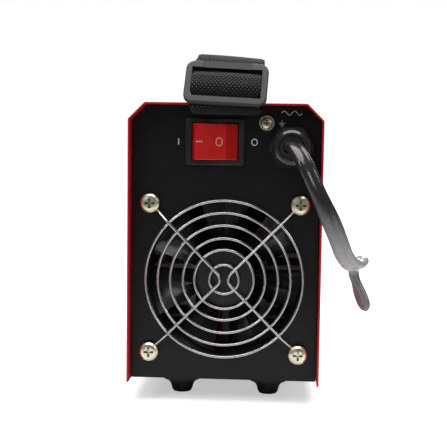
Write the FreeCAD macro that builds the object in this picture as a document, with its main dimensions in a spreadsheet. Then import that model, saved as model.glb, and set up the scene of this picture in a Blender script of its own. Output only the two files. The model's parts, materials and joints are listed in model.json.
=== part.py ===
import FreeCAD, Part
import math
import os
import Sketcher
from FreeCAD import Placement, Rotation, Vector

# Small stick welding inverter seen as an assembly of separate pieces.
# Frame: +Z up, +X across the width, the fan end faces -Y and the socket end faces +Y.
# Every piece is drawn about the middle of the case, with the undersides of the feet at Z 0.
# The exported pieces are moved so that the origin lies under the middle of the whole object,
# cable and sockets included.  All sizes in mm.

doc = FreeCAD.newDocument("welding_inverter")

DIMENSIONS = [
    ("origin_x", 13.84, "distance of the frame's origin from the case's middle, along X"),
    ("origin_y", -11.18, "distance of the frame's origin from the case's middle, along Y"),
    ("cover_width", 105.5, "outside width of the folded cover"),
    ("cover_length", 230.0, "length of the cover, end to end"),
    ("cover_top", 165.5, "height of the cover's top face"),
    ("cover_bottom", 12.2, "height of the cover's lower edges"),
    ("cover_gauge", 1.0, "sheet thickness of the cover"),
    ("corner_cut", 9.0, "width of the sloped top corners"),
    ("panel_face", 106.5, "distance of each end panel's outer face from the middle"),
    ("gauge", 1.2, "sheet thickness of the chassis"),
    ("chassis_gap", 0.4, "air gap between cover and chassis"),
    ("foot_height", 13.0, "height of the rubber feet"),
    ("foot_x", 25.0, "half spacing of the feet across the width"),
    ("foot_y", 81.5, "half spacing of the feet along the length"),
    ("fan_z", 69.5, "height of the fan's axis"),
    ("fan_size", 92.0, "side of the square fan frame"),
    ("fan_depth", 25.0, "depth of the fan frame"),
    ("fan_pitch", 41.25, "half spacing of the fan's corner holes"),
    ("fan_bore", 43.0, "radius of the fan's air passage"),
    ("panel_opening", 43.7, "radius of the round opening in the rear panel"),
    ("hub_radius", 16.6, "outside radius of the fan's hub"),
    ("guard_wire", 0.75, "radius of the guard's wire"),
    ("guard_gap", 3.4, "distance of the guard's rings from the panel"),
    ("switch_x", -6.0, "position of the switch across the width"),
    ("switch_z", 144.7, "height of the switch's centre"),
    ("switch_width", 32.0, "width of the switch's bezel"),
    ("switch_height", 25.6, "height of the switch's bezel"),
    ("switch_mouth_width", 25.6, "width of the opening in the bezel"),
    ("switch_mouth_height", 20.8, "height of the opening in the bezel"),
    ("switch_bezel", 2.0, "thickness of the bezel in front of the panel"),
    ("rocker_tilt", 10.0, "tilt of the rocker either side of its middle, degrees"),
    ("rocker_reach", 12.59, "radius of the rocker's end faces about its pivot"),
    ("gland_x", 35.5, "position of the cable gland across the width"),
    ("gland_z", 142.1, "height of the cable gland"),
    ("gland_flats", 22.0, "size across the gland's flats"),
    ("gland_thread", 9.2, "radius of the gland's threaded shank"),
    ("cable_width", 9.6, "width of the flat mains cable"),
    ("cable_depth", 5.4, "thickness of the flat mains cable"),
    ("earth_x", 22.0, "position of the earth screw across the width"),
    ("earth_z", 155.1, "height of the earth screw"),
    ("strap_width", 36.5, "width of the strap's webbing"),
    ("strap_gauge", 1.8, "thickness of the webbing"),
    ("strap_rise", 25.6, "height of the strap's arch above the cover"),
    ("clamp_y", 94.0, "distance of each strap clamp from the middle"),
    ("clamp_x", 12.0, "half spacing of each clamp's screws"),
    ("side_screw_y", 60.0, "half spacing of the cover's side screws along the length"),
    ("side_screw_z", 23.5, "height of the cover's side screws"),
    ("slider_width", 44.5, "outside width of the strap slider"),
    ("slider_height", 25.8, "outside height of the strap slider"),
    ("slider_gauge", 3.2, "thickness of the strap slider"),
    ("slider_lean", 28.0, "lean of the slider back from upright, degrees"),
    ("slider_roll", 3.0, "roll of the slider in its own plane, degrees"),
    ("slider_y", -114.2, "position of the slider's centre along the length"),
    ("slider_lift", 10.1, "height of the slider's centre above the cover"),
    ("socket_x", 25.0, "half spacing of the output sockets"),
    ("socket_z", 42.0, "height of the output sockets"),
    ("socket_bore", 4.6, "radius of the output sockets' plug bore"),
    ("socket_barrel", 12.0, "radius of the output sockets' threaded barrel"),
    ("knob_z", 126.0, "height of the current knob's axis"),
    ("knob_radius", 13.0, "radius of the current knob"),
    ("knob_rest", 135.0, "turn of the knob's pointer from upright at its lowest setting"),
    ("lamp_x", 26.0, "half spacing of the indicator lamps"),
    ("lamp_z", 146.0, "height of the indicator lamps"),
    ("board_z", 22.0, "height of the power board's underside"),
    ("board_gauge", 1.6, "thickness of the circuit boards"),
    ("board_hole_x", 40.0, "half spacing of the power board's screws across the width"),
    ("board_hole_y", 68.0, "half spacing of the power board's screws along the length"),
    ("side_slot_z", 52.0, "height of the lowest side louvre"),
    ("side_slot_pitch", 9.0, "spacing of the side louvres"),
    ("side_slot_length", 48.0, "length of each side louvre"),
    ("side_slot_inset", 10.0, "distance of each side louvre from the middle of the length"),
    ("outlet_z", 68.0, "height of the lowest outlet louvre in the front panel"),
    ("outlet_pitch", 7.0, "spacing of the outlet louvres"),
    ("outlet_half", 32.0, "half length of the outlet louvres"),
    ("slot_height", 3.0, "height of every louvre"),
    ("hood_reach", 2.4, "how far a louvre's pressed hood stands out"),
    ("hood_wall", 0.9, "thickness of a louvre's hood"),
    ("small_hole", 2.2, "radius of the clearance holes for 4 mm screws"),
]


class Size:
    """A length that carries its value together with its spreadsheet expression."""

    def __init__(self, value, text):
        self.value = value
        self.text = text

    def __add__(self, other):
        return Size(self.value + value_of(other), "(%s + %s)" % (self.text, text_of(other)))

    def __sub__(self, other):
        return Size(self.value - value_of(other), "(%s - %s)" % (self.text, text_of(other)))

    def __mul__(self, other):
        return Size(self.value * value_of(other), "(%s * %s)" % (self.text, text_of(other)))

    def __truediv__(self, other):
        return Size(self.value / value_of(other), "(%s / %s)" % (self.text, text_of(other)))

    def __neg__(self):
        return Size(-self.value, "(0 - %s)" % self.text)


def value_of(size):
    """The plain number behind a size."""
    return size.value if isinstance(size, Size) else float(size)


def text_of(size):
    """The expression behind a size."""
    return size.text if isinstance(size, Size) else "%.6g" % size


class Sizes:
    """All driving sizes, read from the spreadsheet."""


def make_sheet():
    """Fill the spreadsheet and hand back its cells as sizes."""
    sheet = doc.addObject("Spreadsheet::Sheet", "dims")
    for row, (alias, number, note) in enumerate(DIMENSIONS, start=1):
        sheet.set("A%d" % row, note)
        sheet.set("B%d" % row, "%g" % number)
        sheet.setAlias("B%d" % row, alias)
    doc.recompute()
    sizes = Sizes()
    for alias, _number, _note in DIMENSIONS:
        setattr(sizes, alias, Size(float(sheet.get(alias)), "dims." + alias))
    return sizes


S = make_sheet()
INNER_TOP = S.cover_top - S.cover_gauge
PANEL_TOP = INNER_TOP - S.chassis_gap
INNER_SIDE = S.cover_width / 2 - S.cover_gauge
CHASSIS_SIDE = INNER_SIDE - S.chassis_gap
PANEL_BACK = S.panel_face - S.gauge
FLOOR = S.foot_height + S.gauge

TURNED = {
    "+X": Rotation(Vector(0, 0, 1), -90),
    "-X": Rotation(Vector(0, 0, 1), 90),
    "+Y": Rotation(),
    "-Y": Rotation(Vector(0, 0, 1), 180),
    "+Z": Rotation(Vector(1, 0, 0), 90),
    "-Z": Rotation(Vector(1, 0, 0), -90),
}
UPRIGHT = {
    "X": Rotation(Vector(0, 1, 0), 90),
    "Y": Rotation(Vector(1, 0, 0), -90),
    "Z": Rotation(),
}
NODES = []
CLEAR = 0.02


# ---------------------------------------------------------------- helpers

def keep(label, shape_object):
    """Name a finished piece and list it for export."""
    shape_object.Label = label
    NODES.append(shape_object)
    return shape_object


def put(piece, at, rotation=None):
    """Place a piece, each coordinate bound to the sheet."""
    base = Vector(*[value_of(coordinate) for coordinate in at])
    piece.Placement = Placement(base, rotation or Rotation())
    for axis, coordinate in zip("xyz", at):
        if isinstance(coordinate, Size):
            piece.setExpression("Placement.Base." + axis, coordinate.text)
    return piece


def drive(piece, **properties):
    """Set properties and bind those given as sizes."""
    for name, size in properties.items():
        setattr(piece, name, value_of(size))
        if isinstance(size, Size):
            piece.setExpression(name, size.text)
    return piece


def box(name, low, high):
    """A box between two opposite corners."""
    piece = doc.addObject("Part::Box", name)
    spans = [as_size(b) - a for a, b in zip(low, high)]
    drive(piece, Length=spans[0], Width=spans[1], Height=spans[2])
    return put(piece, low)


def as_size(number):
    """A plain number as a size, so that it can be combined with others."""
    return number if isinstance(number, Size) else Size(float(number), "%.6g" % number)


def cylinder(name, radius, start, length, axis="Z"):
    """A cylinder that starts at a point and runs along an axis."""
    piece = doc.addObject("Part::Cylinder", name)
    drive(piece, Radius=radius, Height=length)
    return put(piece, start, UPRIGHT[axis])


def tube(name, outer, inner, start, length, axis="Z"):
    """A cylinder with a round hole through it."""
    return cut(name, cylinder(name + "_outside", outer, start, length, axis),
               [cylinder(name + "_hole", inner, start, length, axis)])


def hexagon(name, flats, start, length, axis="Z"):
    """A hexagonal prism of a given size across flats."""
    piece = doc.addObject("Part::Prism", name)
    piece.Polygon = 6
    drive(piece, Circumradius=as_size(flats) / 1.7320508, Height=length)
    return put(piece, start, UPRIGHT[axis])


def ring(name, major, minor, at, axis="Y"):
    """A torus about an axis."""
    piece = doc.addObject("Part::Torus", name)
    drive(piece, Radius1=major, Radius2=minor)
    return put(piece, at, UPRIGHT[axis])


def cut(name, base, tools):
    """A base with one or more pieces removed."""
    result = doc.addObject("Part::Cut", name)
    result.Base = base
    result.Tool = tools[0] if len(tools) == 1 else compound(name + "_tools", tools)
    return result


def fuse(name, parts):
    """Several touching pieces made one."""
    result = doc.addObject("Part::MultiFuse", name)
    result.Shapes = parts
    return result


def compound(name, parts):
    """Several separate pieces kept together."""
    result = doc.addObject("Part::Compound", name)
    result.Links = parts
    return result


def mirrored(name, source, normal, at=(0, 0, 0)):
    """A mirror image of a piece."""
    result = doc.addObject("Part::Mirroring", name)
    result.Source = source
    result.Normal = normal
    result.Base = Vector(*[value_of(coordinate) for coordinate in at])
    for axis, coordinate in zip("xyz", at):
        if isinstance(coordinate, Size):
            result.setExpression("Base." + axis, coordinate.text)
    return result


def pair(name, source, normal, at=(0, 0, 0)):
    """A piece together with its mirror image."""
    return compound(name, [source, mirrored(name + "_mirror", source, normal, at)])


def solid_feature(name, shape, placement=None):
    """A document object for a shape that is swept or lofted."""
    piece = doc.addObject("Part::Feature", name)
    piece.Shape = shape
    piece.Placement = placement or Placement()
    return piece


def new_body(name):
    """An empty PartDesign body."""
    return doc.addObject("PartDesign::Body", name)


def sketch_on(body, role, offset=0):
    """A sketch on one of the body's own origin planes, shifted along its normal."""
    sketch = body.newObject("Sketcher::SketchObject", body.Name + "_sketch")
    plane = [item for item in body.Origin.OriginFeatures if item.Role == role][0]
    sketch.AttachmentSupport = [(plane, "")]
    sketch.MapMode = "FlatFace"
    sketch.AttachmentOffset = Placement(Vector(0, 0, value_of(offset)), Rotation())
    if isinstance(offset, Size):
        sketch.setExpression("AttachmentOffset.Base.z", offset.text)
    return sketch


def pin(sketch, geometry, vertex, x, y):
    """Fix one sketch point at a place bound to the sheet."""
    for kind, coordinate, axis in (("DistanceX", x, -2), ("DistanceY", y, -1)):
        if abs(value_of(coordinate)) < 1e-9:
            sketch.addConstraint(Sketcher.Constraint("PointOnObject", geometry, vertex, axis))
            continue
        constraint = Sketcher.Constraint(kind, -1, 1, geometry, vertex, value_of(coordinate))
        index = sketch.addConstraint(constraint)
        if isinstance(coordinate, Size):
            sketch.setExpression("Constraints[%d]" % index, coordinate.text)


def outline(sketch, corners):
    """A closed outline of straight lines through the corners."""
    points = [Vector(value_of(x), value_of(y), 0) for x, y in corners]
    first = sketch.GeometryCount
    count = len(points)
    for index in range(count):
        sketch.addGeometry(Part.LineSegment(points[index], points[(index + 1) % count]), False)
    for index in range(count):
        follower = first + (index + 1) % count
        sketch.addConstraint(Sketcher.Constraint("Coincident", first + index, 2, follower, 1))
    for index, (x, y) in enumerate(corners):
        pin(sketch, first + index, 1, x, y)


def rectangle(sketch, left, right, low, high):
    """A rectangle between four edges."""
    outline(sketch, [(left, low), (right, low), (right, high), (left, high)])


def circle(sketch, x, y, radius):
    """A circle with its centre and radius bound to the sheet."""
    shape = Part.Circle(Vector(value_of(x), value_of(y), 0), Vector(0, 0, 1), value_of(radius))
    index = sketch.addGeometry(shape, False)
    pin(sketch, index, 3, x, y)
    constraint = sketch.addConstraint(Sketcher.Constraint("Radius", index, value_of(radius)))
    if isinstance(radius, Size):
        sketch.setExpression("Constraints[%d]" % constraint, radius.text)


def pad(body, sketch, length, both_ways=False):
    """Extrude a sketch into material."""
    feature = body.newObject("PartDesign::Pad", body.Name + "_pad")
    feature.Profile = sketch
    feature.Midplane = both_ways
    drive(feature, Length=length)
    body.Tip = feature
    return feature


def pocket(body, sketch, length):
    """Cut a sketch out of the body, half the length to each side of its plane."""
    feature = body.newObject("PartDesign::Pocket", body.Name + "_pocket")
    feature.Profile = sketch
    feature.Midplane = True
    drive(feature, Length=length)
    body.Tip = feature
    return feature


def spin(body, corners, name="turning"):
    """Turn a profile of (radius, height) corners about the body's Y axis."""
    sketch = sketch_on(body, "XY_Plane")
    outline(sketch, corners)
    feature = body.newObject("PartDesign::Revolution", name)
    feature.Profile = sketch
    feature.ReferenceAxis = (sketch, ["V_Axis"])
    feature.Angle = 360
    body.Tip = feature
    return feature


def round_edges(body, chosen, radius):
    """Round the edges of the body's tip that a test picks out."""
    doc.recompute()
    tip = body.Tip
    names = ["Edge%d" % (index + 1) for index, edge in enumerate(tip.Shape.Edges) if chosen(edge)]
    feature = body.newObject("PartDesign::Fillet", body.Name + "_rounding")
    feature.Base = (tip, names)
    drive(feature, Radius=radius)
    body.Tip = feature
    return feature


def straight_along(edge, direction):
    """Whether an edge is a straight line along a direction."""
    if edge.Curve.TypeId != "Part::GeomLine":
        return False
    return abs(abs(edge.tangentAt(edge.FirstParameter).dot(direction)) - 1) < 1e-6


def turned(name, corners, at, facing="+Y"):
    """A turned piece, its axis facing one of the six directions."""
    body = new_body(name)
    spin(body, corners, name + "_turning")
    return put(body, at, TURNED[facing])


def cross_recess(body, top, reach, depth):
    """Cut a cross-shaped driver recess into a screw's head."""
    arm = as_size(reach)
    half = arm * 0.22
    sketch = sketch_on(body, "XZ_Plane", -as_size(top))
    outline(sketch, [(arm, -half), (arm, half), (half, half), (half, arm),
                     (-half, arm), (-half, half), (-arm, half), (-arm, -half),
                     (-half, -half), (-half, -arm), (half, -arm), (half, -half)])
    pocket(body, sketch, as_size(depth) * 2)


def pan_screw(name, head, height, shank, length, at, facing):
    """A cross-recess pan-head screw; its head faces the given direction."""
    body = turned(name, [(0, height), (head * 0.5, height), (head * 0.78, height * 0.86),
                         (head * 0.94, height * 0.6), (head, height * 0.3), (head, 0),
                         (shank, 0), (shank, -length), (0, -length)], at, facing)
    cross_recess(body, height, head * 0.5, height * 0.62)
    return body


def hex_nut(name, flats, bore, start, length, axis):
    """A plain hexagon nut."""
    return cut(name, hexagon(name + "_hexagon", flats, start, length, axis),
               [cylinder(name + "_hole", bore, start, length, axis)])


def path_wire(points):
    """A smooth curve through a list of points."""
    curve = Part.BSplineCurve()
    curve.interpolate([Vector(*point) for point in points])
    return Part.Wire([curve.toShape()])


def swept_round(points, radius):
    """A round wire along a smooth path."""
    path = path_wire(points)
    start = path.Edges[0]
    circle_edge = Part.makeCircle(radius, start.valueAt(start.FirstParameter),
                                  start.tangentAt(start.FirstParameter))
    return path.makePipeShell([Part.Wire([circle_edge])], True, False)


def bent_round(corners, bends, radius):
    """A round wire of straight runs, bent to a given radius at each inner corner."""
    points = [Vector(*corner) for corner in corners]
    edges = []
    here = points[0]
    for index, bend in enumerate(bends, start=1):
        corner = points[index]
        back = (points[index - 1] - corner).normalize()
        ahead = (points[index + 1] - corner).normalize()
        half = back.getAngle(ahead) / 2
        trim = bend / math.tan(half)
        middle = (back + ahead).normalize() * (bend / math.sin(half) - bend)
        start = corner + back * trim
        end = corner + ahead * trim
        edges.append(Part.LineSegment(here, start).toShape())
        edges.append(Part.Arc(start, corner + middle, end).toShape())
        here = end
    edges.append(Part.LineSegment(here, points[-1]).toShape())
    section = Part.makeCircle(radius, points[0], points[1] - points[0])
    return Part.Wire(edges).makePipeShell([Part.Wire([section])], True, False)


# ---------------------------------------------------------------- cover and chassis

def make_cover():
    """The folded cover: an inverted U with sloped top corners and side louvres."""
    body = new_body("cover_body")
    inner_cut = S.corner_cut + S.cover_gauge * 0.41421 - S.cover_gauge
    side = S.cover_width / 2
    sketch = sketch_on(body, "XZ_Plane")
    outline(sketch, [
        (-side, S.cover_bottom), (-side, S.cover_top - S.corner_cut),
        (S.corner_cut - side, S.cover_top), (side - S.corner_cut, S.cover_top),
        (side, S.cover_top - S.corner_cut), (side, S.cover_bottom),
        (INNER_SIDE, S.cover_bottom), (INNER_SIDE, INNER_TOP - inner_cut),
        (INNER_SIDE - inner_cut, INNER_TOP), (inner_cut - INNER_SIDE, INNER_TOP),
        (-INNER_SIDE, INNER_TOP - inner_cut), (-INNER_SIDE, S.cover_bottom)])
    pad(body, sketch, S.cover_length, both_ways=True)
    lengthwise = Vector(0, 1, 0)
    bend_floor = value_of(S.cover_bottom) + 5
    round_edges(body, lambda edge: straight_along(edge, lengthwise)
                and edge.CenterOfMass.z > bend_floor, 1.6)
    screw_holes = sketch_on(body, "YZ_Plane")
    for y in (-1, 1):
        circle(screw_holes, S.side_screw_y * y, S.side_screw_z, S.small_hole)
    pocket(body, screw_holes, S.cover_width + 4)
    clamp_holes = sketch_on(body, "XY_Plane", S.cover_top)
    for x in (-1, 1):
        for y in (-1, 1):
            circle(clamp_holes, S.clamp_x * x, S.clamp_y * y, S.small_hole)
    pocket(body, clamp_holes, 6)
    louvres = sketch_on(body, "YZ_Plane")
    rows = [S.side_slot_z + S.side_slot_pitch * row for row in range(6)]
    for near, far in ((S.side_slot_inset, S.side_slot_inset + S.side_slot_length),
                      (-S.side_slot_inset - S.side_slot_length, -S.side_slot_inset)):
        for low in rows:
            rectangle(louvres, near, far, low, low + S.slot_height)
    pocket(body, louvres, S.cover_width + 4)
    for bank in (-1, 1):
        offset = (S.side_slot_inset + S.side_slot_length / 2) * bank
        press_hoods(body, "XZ_Plane", offset, S.side_slot_length, rows, [(side, 1), (-side, -1)])
    keep("cover", body)


def press_hoods(body, role, offset, length, rows, faces):
    """Hoods over a bank of louvres, open at the bottom and closed at both ends.

    The plane is square to the louvres; faces gives each sheet's outer face and outward sign.
    """
    outside = sketch_on(body, role, offset)
    inside = sketch_on(body, role, offset)
    for face, sign in faces:
        out = face + S.hood_reach * sign
        hollow = out - S.hood_wall * sign
        root = face - 0.5 * sign
        for low in rows:
            top = low + S.slot_height
            outline(outside, [(root, top), (root, top + 1.6), (face, top + 1.6), (out, top - 0.8),
                              (out, low - 0.4), (face, low - 0.4), (face, top)])
            outline(inside, [(face, low - 0.4), (hollow, low - 0.4), (hollow, top - 1.2),
                             (face + 0.3 * sign, top), (face, top)])
    pad(body, outside, length + 2, both_ways=True)
    pocket(body, inside, length)


def make_chassis():
    """Floor and both end panels folded from one sheet, with side flanges."""
    body = new_body("chassis_body")
    profile = sketch_on(body, "YZ_Plane")
    outline(profile, [
        (-S.panel_face, PANEL_TOP), (-S.panel_face, S.foot_height),
        (S.panel_face, S.foot_height), (S.panel_face, PANEL_TOP), (PANEL_BACK, PANEL_TOP),
        (PANEL_BACK, FLOOR), (-PANEL_BACK, FLOOR), (-PANEL_BACK, PANEL_TOP)])
    pad(body, profile, CHASSIS_SIDE * 2, both_ways=True)
    make_flanges(body)
    trim_panel_corners(body)
    cut_rear_panel(body)
    cut_front_panel(body)
    cut_floor(body)
    keep("chassis", body)


def make_flanges(body):
    """Upstands along both sides that the cover is screwed to."""
    top = PANEL_TOP - 10
    inner = PANEL_BACK - 12
    for side in (-1, 1):
        offset = CHASSIS_SIDE - S.gauge if side > 0 else -CHASSIS_SIDE
        sketch = sketch_on(body, "YZ_Plane", offset)
        outline(sketch, [
            (-PANEL_BACK, FLOOR), (PANEL_BACK, FLOOR), (PANEL_BACK, top), (inner, top),
            (inner, FLOOR + 14), (-inner, FLOOR + 14), (-inner, top), (-PANEL_BACK, top)])
        pad(body, sketch, S.gauge)
    holes = sketch_on(body, "YZ_Plane")
    for y in (-1, 1):
        circle(holes, S.side_screw_y * y, S.side_screw_z, S.small_hole)
    pocket(body, holes, S.cover_width)


def trim_panel_corners(body):
    """Slope the panels' top corners to follow the cover."""
    fold = S.corner_cut - (S.cover_gauge + S.chassis_gap) * 0.5858
    sketch = sketch_on(body, "XZ_Plane")
    for side in (-1, 1):
        edge = CHASSIS_SIDE * side
        outline(sketch, [(edge - fold * side, PANEL_TOP), (edge + 2 * side, PANEL_TOP + 2),
                         (edge, PANEL_TOP - fold)])
    pocket(body, sketch, S.cover_length)


def cut_rear_panel(body):
    """Openings for the fan, switch, gland, earth screw and strap."""
    sketch = sketch_on(body, "XZ_Plane", S.panel_face - S.gauge / 2)
    circle(sketch, 0, S.fan_z, S.panel_opening)
    for x in (-1, 1):
        for z in (-1, 1):
            circle(sketch, S.fan_pitch * x, S.fan_z + S.fan_pitch * z, S.small_hole)
    half_width = S.switch_mouth_width / 2 + 1
    half_height = S.switch_mouth_height / 2 + 1
    rectangle(sketch, S.switch_x - half_width, S.switch_x + half_width,
              S.switch_z - half_height, S.switch_z + half_height)
    circle(sketch, S.gland_x, S.gland_z, S.gland_thread + 0.2)
    circle(sketch, S.earth_x, S.earth_z, 2.1)
    pocket(body, sketch, 6)
    notches = sketch_on(body, "XZ_Plane")
    rectangle(notches, -(S.strap_width / 2 + 1.5), S.strap_width / 2 + 1.5,
              PANEL_TOP - 3.2, PANEL_TOP + 2)
    pocket(body, notches, S.cover_length)


def cut_front_panel(body):
    """Openings for the sockets, knob and lamps, and the outlet louvres."""
    sketch = sketch_on(body, "XZ_Plane", S.gauge / 2 - S.panel_face)
    for side in (-1, 1):
        circle(sketch, S.socket_x * side, S.socket_z, S.socket_barrel + 0.2)
        circle(sketch, S.lamp_x * side, S.lamp_z, 2.6)
    circle(sketch, 0, S.knob_z, 3.7)
    rows = [S.outlet_z + S.outlet_pitch * row for row in range(5)]
    for low in rows:
        rectangle(sketch, -S.outlet_half, S.outlet_half, low, low + S.slot_height)
    pocket(body, sketch, 6)
    press_hoods(body, "YZ_Plane", 0, S.outlet_half * 2, rows, [(S.panel_face, 1)])


def cut_floor(body):
    """Holes for the feet and the power board's spacers."""
    sketch = sketch_on(body, "XY_Plane", S.foot_height)
    for x in (-1, 1):
        for y in (-1, 1):
            circle(sketch, S.foot_x * x, S.foot_y * y, S.small_hole)
            circle(sketch, S.board_hole_x * x, S.board_hole_y * y, 1.6)
    pocket(body, sketch, 6)


def make_cover_screws():
    """Four pan-head screws through the cover's sides, with their nuts."""
    at = (S.cover_width / 2, S.side_screw_y, S.side_screw_z)
    screw = pan_screw("cover_screw", 3.9, 2.4, 1.95, 5.9, at, "+X")
    inner = CHASSIS_SIDE - S.gauge - 3.2
    nut = hex_nut("cover_nut", 7.0, 2.05, (inner, S.side_screw_y, S.side_screw_z), 3.15, "X")
    for label, piece in (("cover_screws", screw), ("cover_nuts", nut)):
        one_side = pair(label + "_side", piece, Vector(0, 1, 0))
        keep(label, pair(label + "_all", one_side, Vector(1, 0, 0)))


def make_feet():
    """Four rubber feet with a recessed screw and nut each."""
    foot = turned("foot", [
        (3.9, 6.0), (3.9, 0), (5.1, 0), (5.8, 1.1), (6.3, 2.8), (6.7, 4.2),
        (7.6, 5.6), (9.2, 6.8), (11.0, 7.6), (11.2, S.foot_height - CLEAR),
        (2.2, S.foot_height - CLEAR), (2.2, 6.0)], (S.foot_x, S.foot_y, 0), "+Z")
    screw = pan_screw("foot_screw", 3.7, 2.4, 1.95, 12.6, (S.foot_x, S.foot_y, 5.95), "-Z")
    nut = hex_nut("foot_nut", 7.0, 2.05, (S.foot_x, S.foot_y, FLOOR + CLEAR), 3.2, "Z")
    for label, piece in (("feet", foot), ("foot_screws", screw), ("foot_nuts", nut)):
        row = pair(label + "_row", piece, Vector(1, 0, 0))
        keep(label, pair(label + "_all", row, Vector(0, 1, 0)))


# ---------------------------------------------------------------- fan

def make_fan_frame():
    """Square fan frame: two flanges, a barrel, four struts and the motor seat."""
    front = -PANEL_BACK
    back = S.fan_depth - PANEL_BACK
    half = S.fan_size / 2
    flanges = []
    for name, low, high in (("near", front, front + 4), ("far", back - 4, back)):
        plate = box("fan_flange_" + name, (-half, low, S.fan_z - half),
                    (half, high, S.fan_z + half))
        flanges.append(plate)
    barrel = cylinder("fan_barrel", S.fan_bore + 1.8, (0, front, S.fan_z), S.fan_depth, "Y")
    shell = cut("fan_shell", fuse("fan_outside", flanges + [barrel]),
                [cylinder("fan_passage", S.fan_bore, (0, front, S.fan_z), S.fan_depth, "Y"),
                 corner_holes(front)])
    seat = cylinder("fan_seat", S.hub_radius, (0, back - 3.5, S.fan_z), 3.5, "Y")
    post = cylinder("fan_post", 4.6, (0, back - 15, S.fan_z), 14, "Y")
    struts = [box("fan_strut_flat", (-S.fan_bore - 1, back - 3.5, S.fan_z - 2.0),
                  (S.fan_bore + 1, back, S.fan_z + 2.0)),
              box("fan_strut_tall", (-2.0, back - 3.5, S.fan_z - S.fan_bore - 1),
                  (2.0, back, S.fan_z + S.fan_bore + 1))]
    solid = fuse("fan_frame_solid", [shell, seat, post] + struts)
    bore = cylinder("fan_post_bore", 3.02, (0, back - 16, S.fan_z), 12.5, "Y")
    keep("fan_frame", cut("fan_frame_part", solid, [bore]))


def corner_holes(front):
    """The four through holes in the fan frame's corners."""
    hole = cylinder("fan_hole", S.small_hole, (S.fan_pitch, front, S.fan_z + S.fan_pitch),
                    S.fan_depth, "Y")
    row = pair("fan_hole_row", hole, Vector(1, 0, 0))
    return pair("fan_hole_all", row, Vector(0, 0, 1), (0, 0, S.fan_z))


def blade_section(radius, chord, pitch, middle):
    """A thin cambered section across the blade at one radius."""
    angle = math.radians(pitch)
    stations = [-0.5, -0.25, 0.0, 0.25, 0.5]
    upper = []
    lower = []
    for station in stations:
        along = station * chord
        camber = 1.6 * (1 - 4 * station * station)
        half = 0.75 if abs(station) < 0.4 else 0.35
        for side, points in ((half, upper), (-half, lower)):
            x = along * math.cos(angle) - (camber + side) * math.sin(angle)
            y = middle + along * math.sin(angle) + (camber + side) * math.cos(angle)
            points.append(Vector(x, y, radius))
    return Part.makePolygon(upper + lower[::-1] + [upper[0]])


def make_fan_rotor():
    """Cup-shaped hub with seven cambered blades."""
    front = -value_of(PANEL_BACK) + 1.0
    hub = turned("fan_hub", [
        (1.52, 0.9), (1.52, 5.0), (4.0, 5.0), (4.0, 2.4), (14.6, 2.4), (14.6, 17.5),
        (S.hub_radius, 17.5), (S.hub_radius, 1.0), (S.hub_radius - 1, 0),
        (0, 0), (0, 0.9)], (0, -PANEL_BACK + 1.0, S.fan_z))
    reach = value_of(S.fan_bore) - 0.9
    axis_z = value_of(S.fan_z)
    limit = Part.makeCylinder(reach, 30, Vector(0, front, 0), Vector(0, 1, 0))
    inner = value_of(S.hub_radius) - 1.2
    blades = []
    root = blade_section(inner, 14.5, 48, front + 9.2)
    tip = blade_section(reach + 2.5, 33.0, 27, front + 9.2)
    blade = Part.makeLoft([root, tip], True, True).common(limit)
    for index in range(7):
        turn = Rotation(Vector(0, 1, 0), index * 360.0 / 7)
        place = Placement(Vector(0, 0, axis_z), turn)
        blades.append(solid_feature("fan_blade_%d" % index, blade, place))
    keep("fan_rotor", fuse("fan_rotor_part", [hub] + blades))


def make_fan_motor():
    """Shaft, sleeve bearing and stator winding of the fan's motor."""
    hub_face = -PANEL_BACK + 1.0
    back = S.fan_depth - PANEL_BACK
    keep("fan_shaft", cylinder("fan_shaft_part", 1.5, (0, hub_face + 0.95, S.fan_z), 18.5, "Y"))
    keep("fan_bearing", tube("fan_bearing_part", 3.0, 1.55, (0, back - 15, S.fan_z), 11.4, "Y"))
    keep("fan_stator", tube("fan_stator_part", 12.5, 4.65, (0, back - 13.5, S.fan_z), 9.0, "Y"))


def guard_spoke(side):
    """One spoke wire: eyelet, step up to the rings, tight bend at the hub, and back."""
    pitch = value_of(S.fan_pitch)
    eye = pitch - 3.05 / math.sqrt(2)
    face = -value_of(S.panel_face)
    low = face - value_of(S.guard_wire) - CLEAR
    high = face - value_of(S.guard_gap) - 1.35
    leg = [(eye, low), (37.0, low), (31.5, high)]
    axis_z = value_of(S.fan_z)
    corners = [(side * across, depth, axis_z + across) for across, depth in leg]
    corners.append((side * 0.38, high, axis_z))
    corners += [(side * across, depth, axis_z - across) for across, depth in reversed(leg)]
    wire = bent_round(corners, [2.0, 2.0, 5.0, 2.0, 2.0], value_of(S.guard_wire))
    return solid_feature("guard_spoke_%d" % (side + 1), wire)


def make_fan_guard():
    """Six wire rings welded to two bent spoke wires."""
    plane = -S.panel_face - S.guard_gap
    radii = (43.25, 36.5, 29.65, 22.6, 16.3, 8.05)
    rings = [ring("guard_ring_%d" % index, radius, S.guard_wire, (0, plane, S.fan_z))
             for index, radius in enumerate(radii)]
    spokes = [guard_spoke(-1), guard_spoke(1)]
    eye = ring("guard_eye", 3.05, S.guard_wire,
               (S.fan_pitch, -S.panel_face - S.guard_wire - CLEAR, S.fan_z + S.fan_pitch))
    eye_row = pair("guard_eye_row", eye, Vector(1, 0, 0))
    eye_far = mirrored("guard_eye_low", eye_row, Vector(0, 0, 1), (0, 0, S.fan_z))
    keep("fan_guard", fuse("fan_guard_part", rings + spokes + [eye_row, eye_far]))


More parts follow.
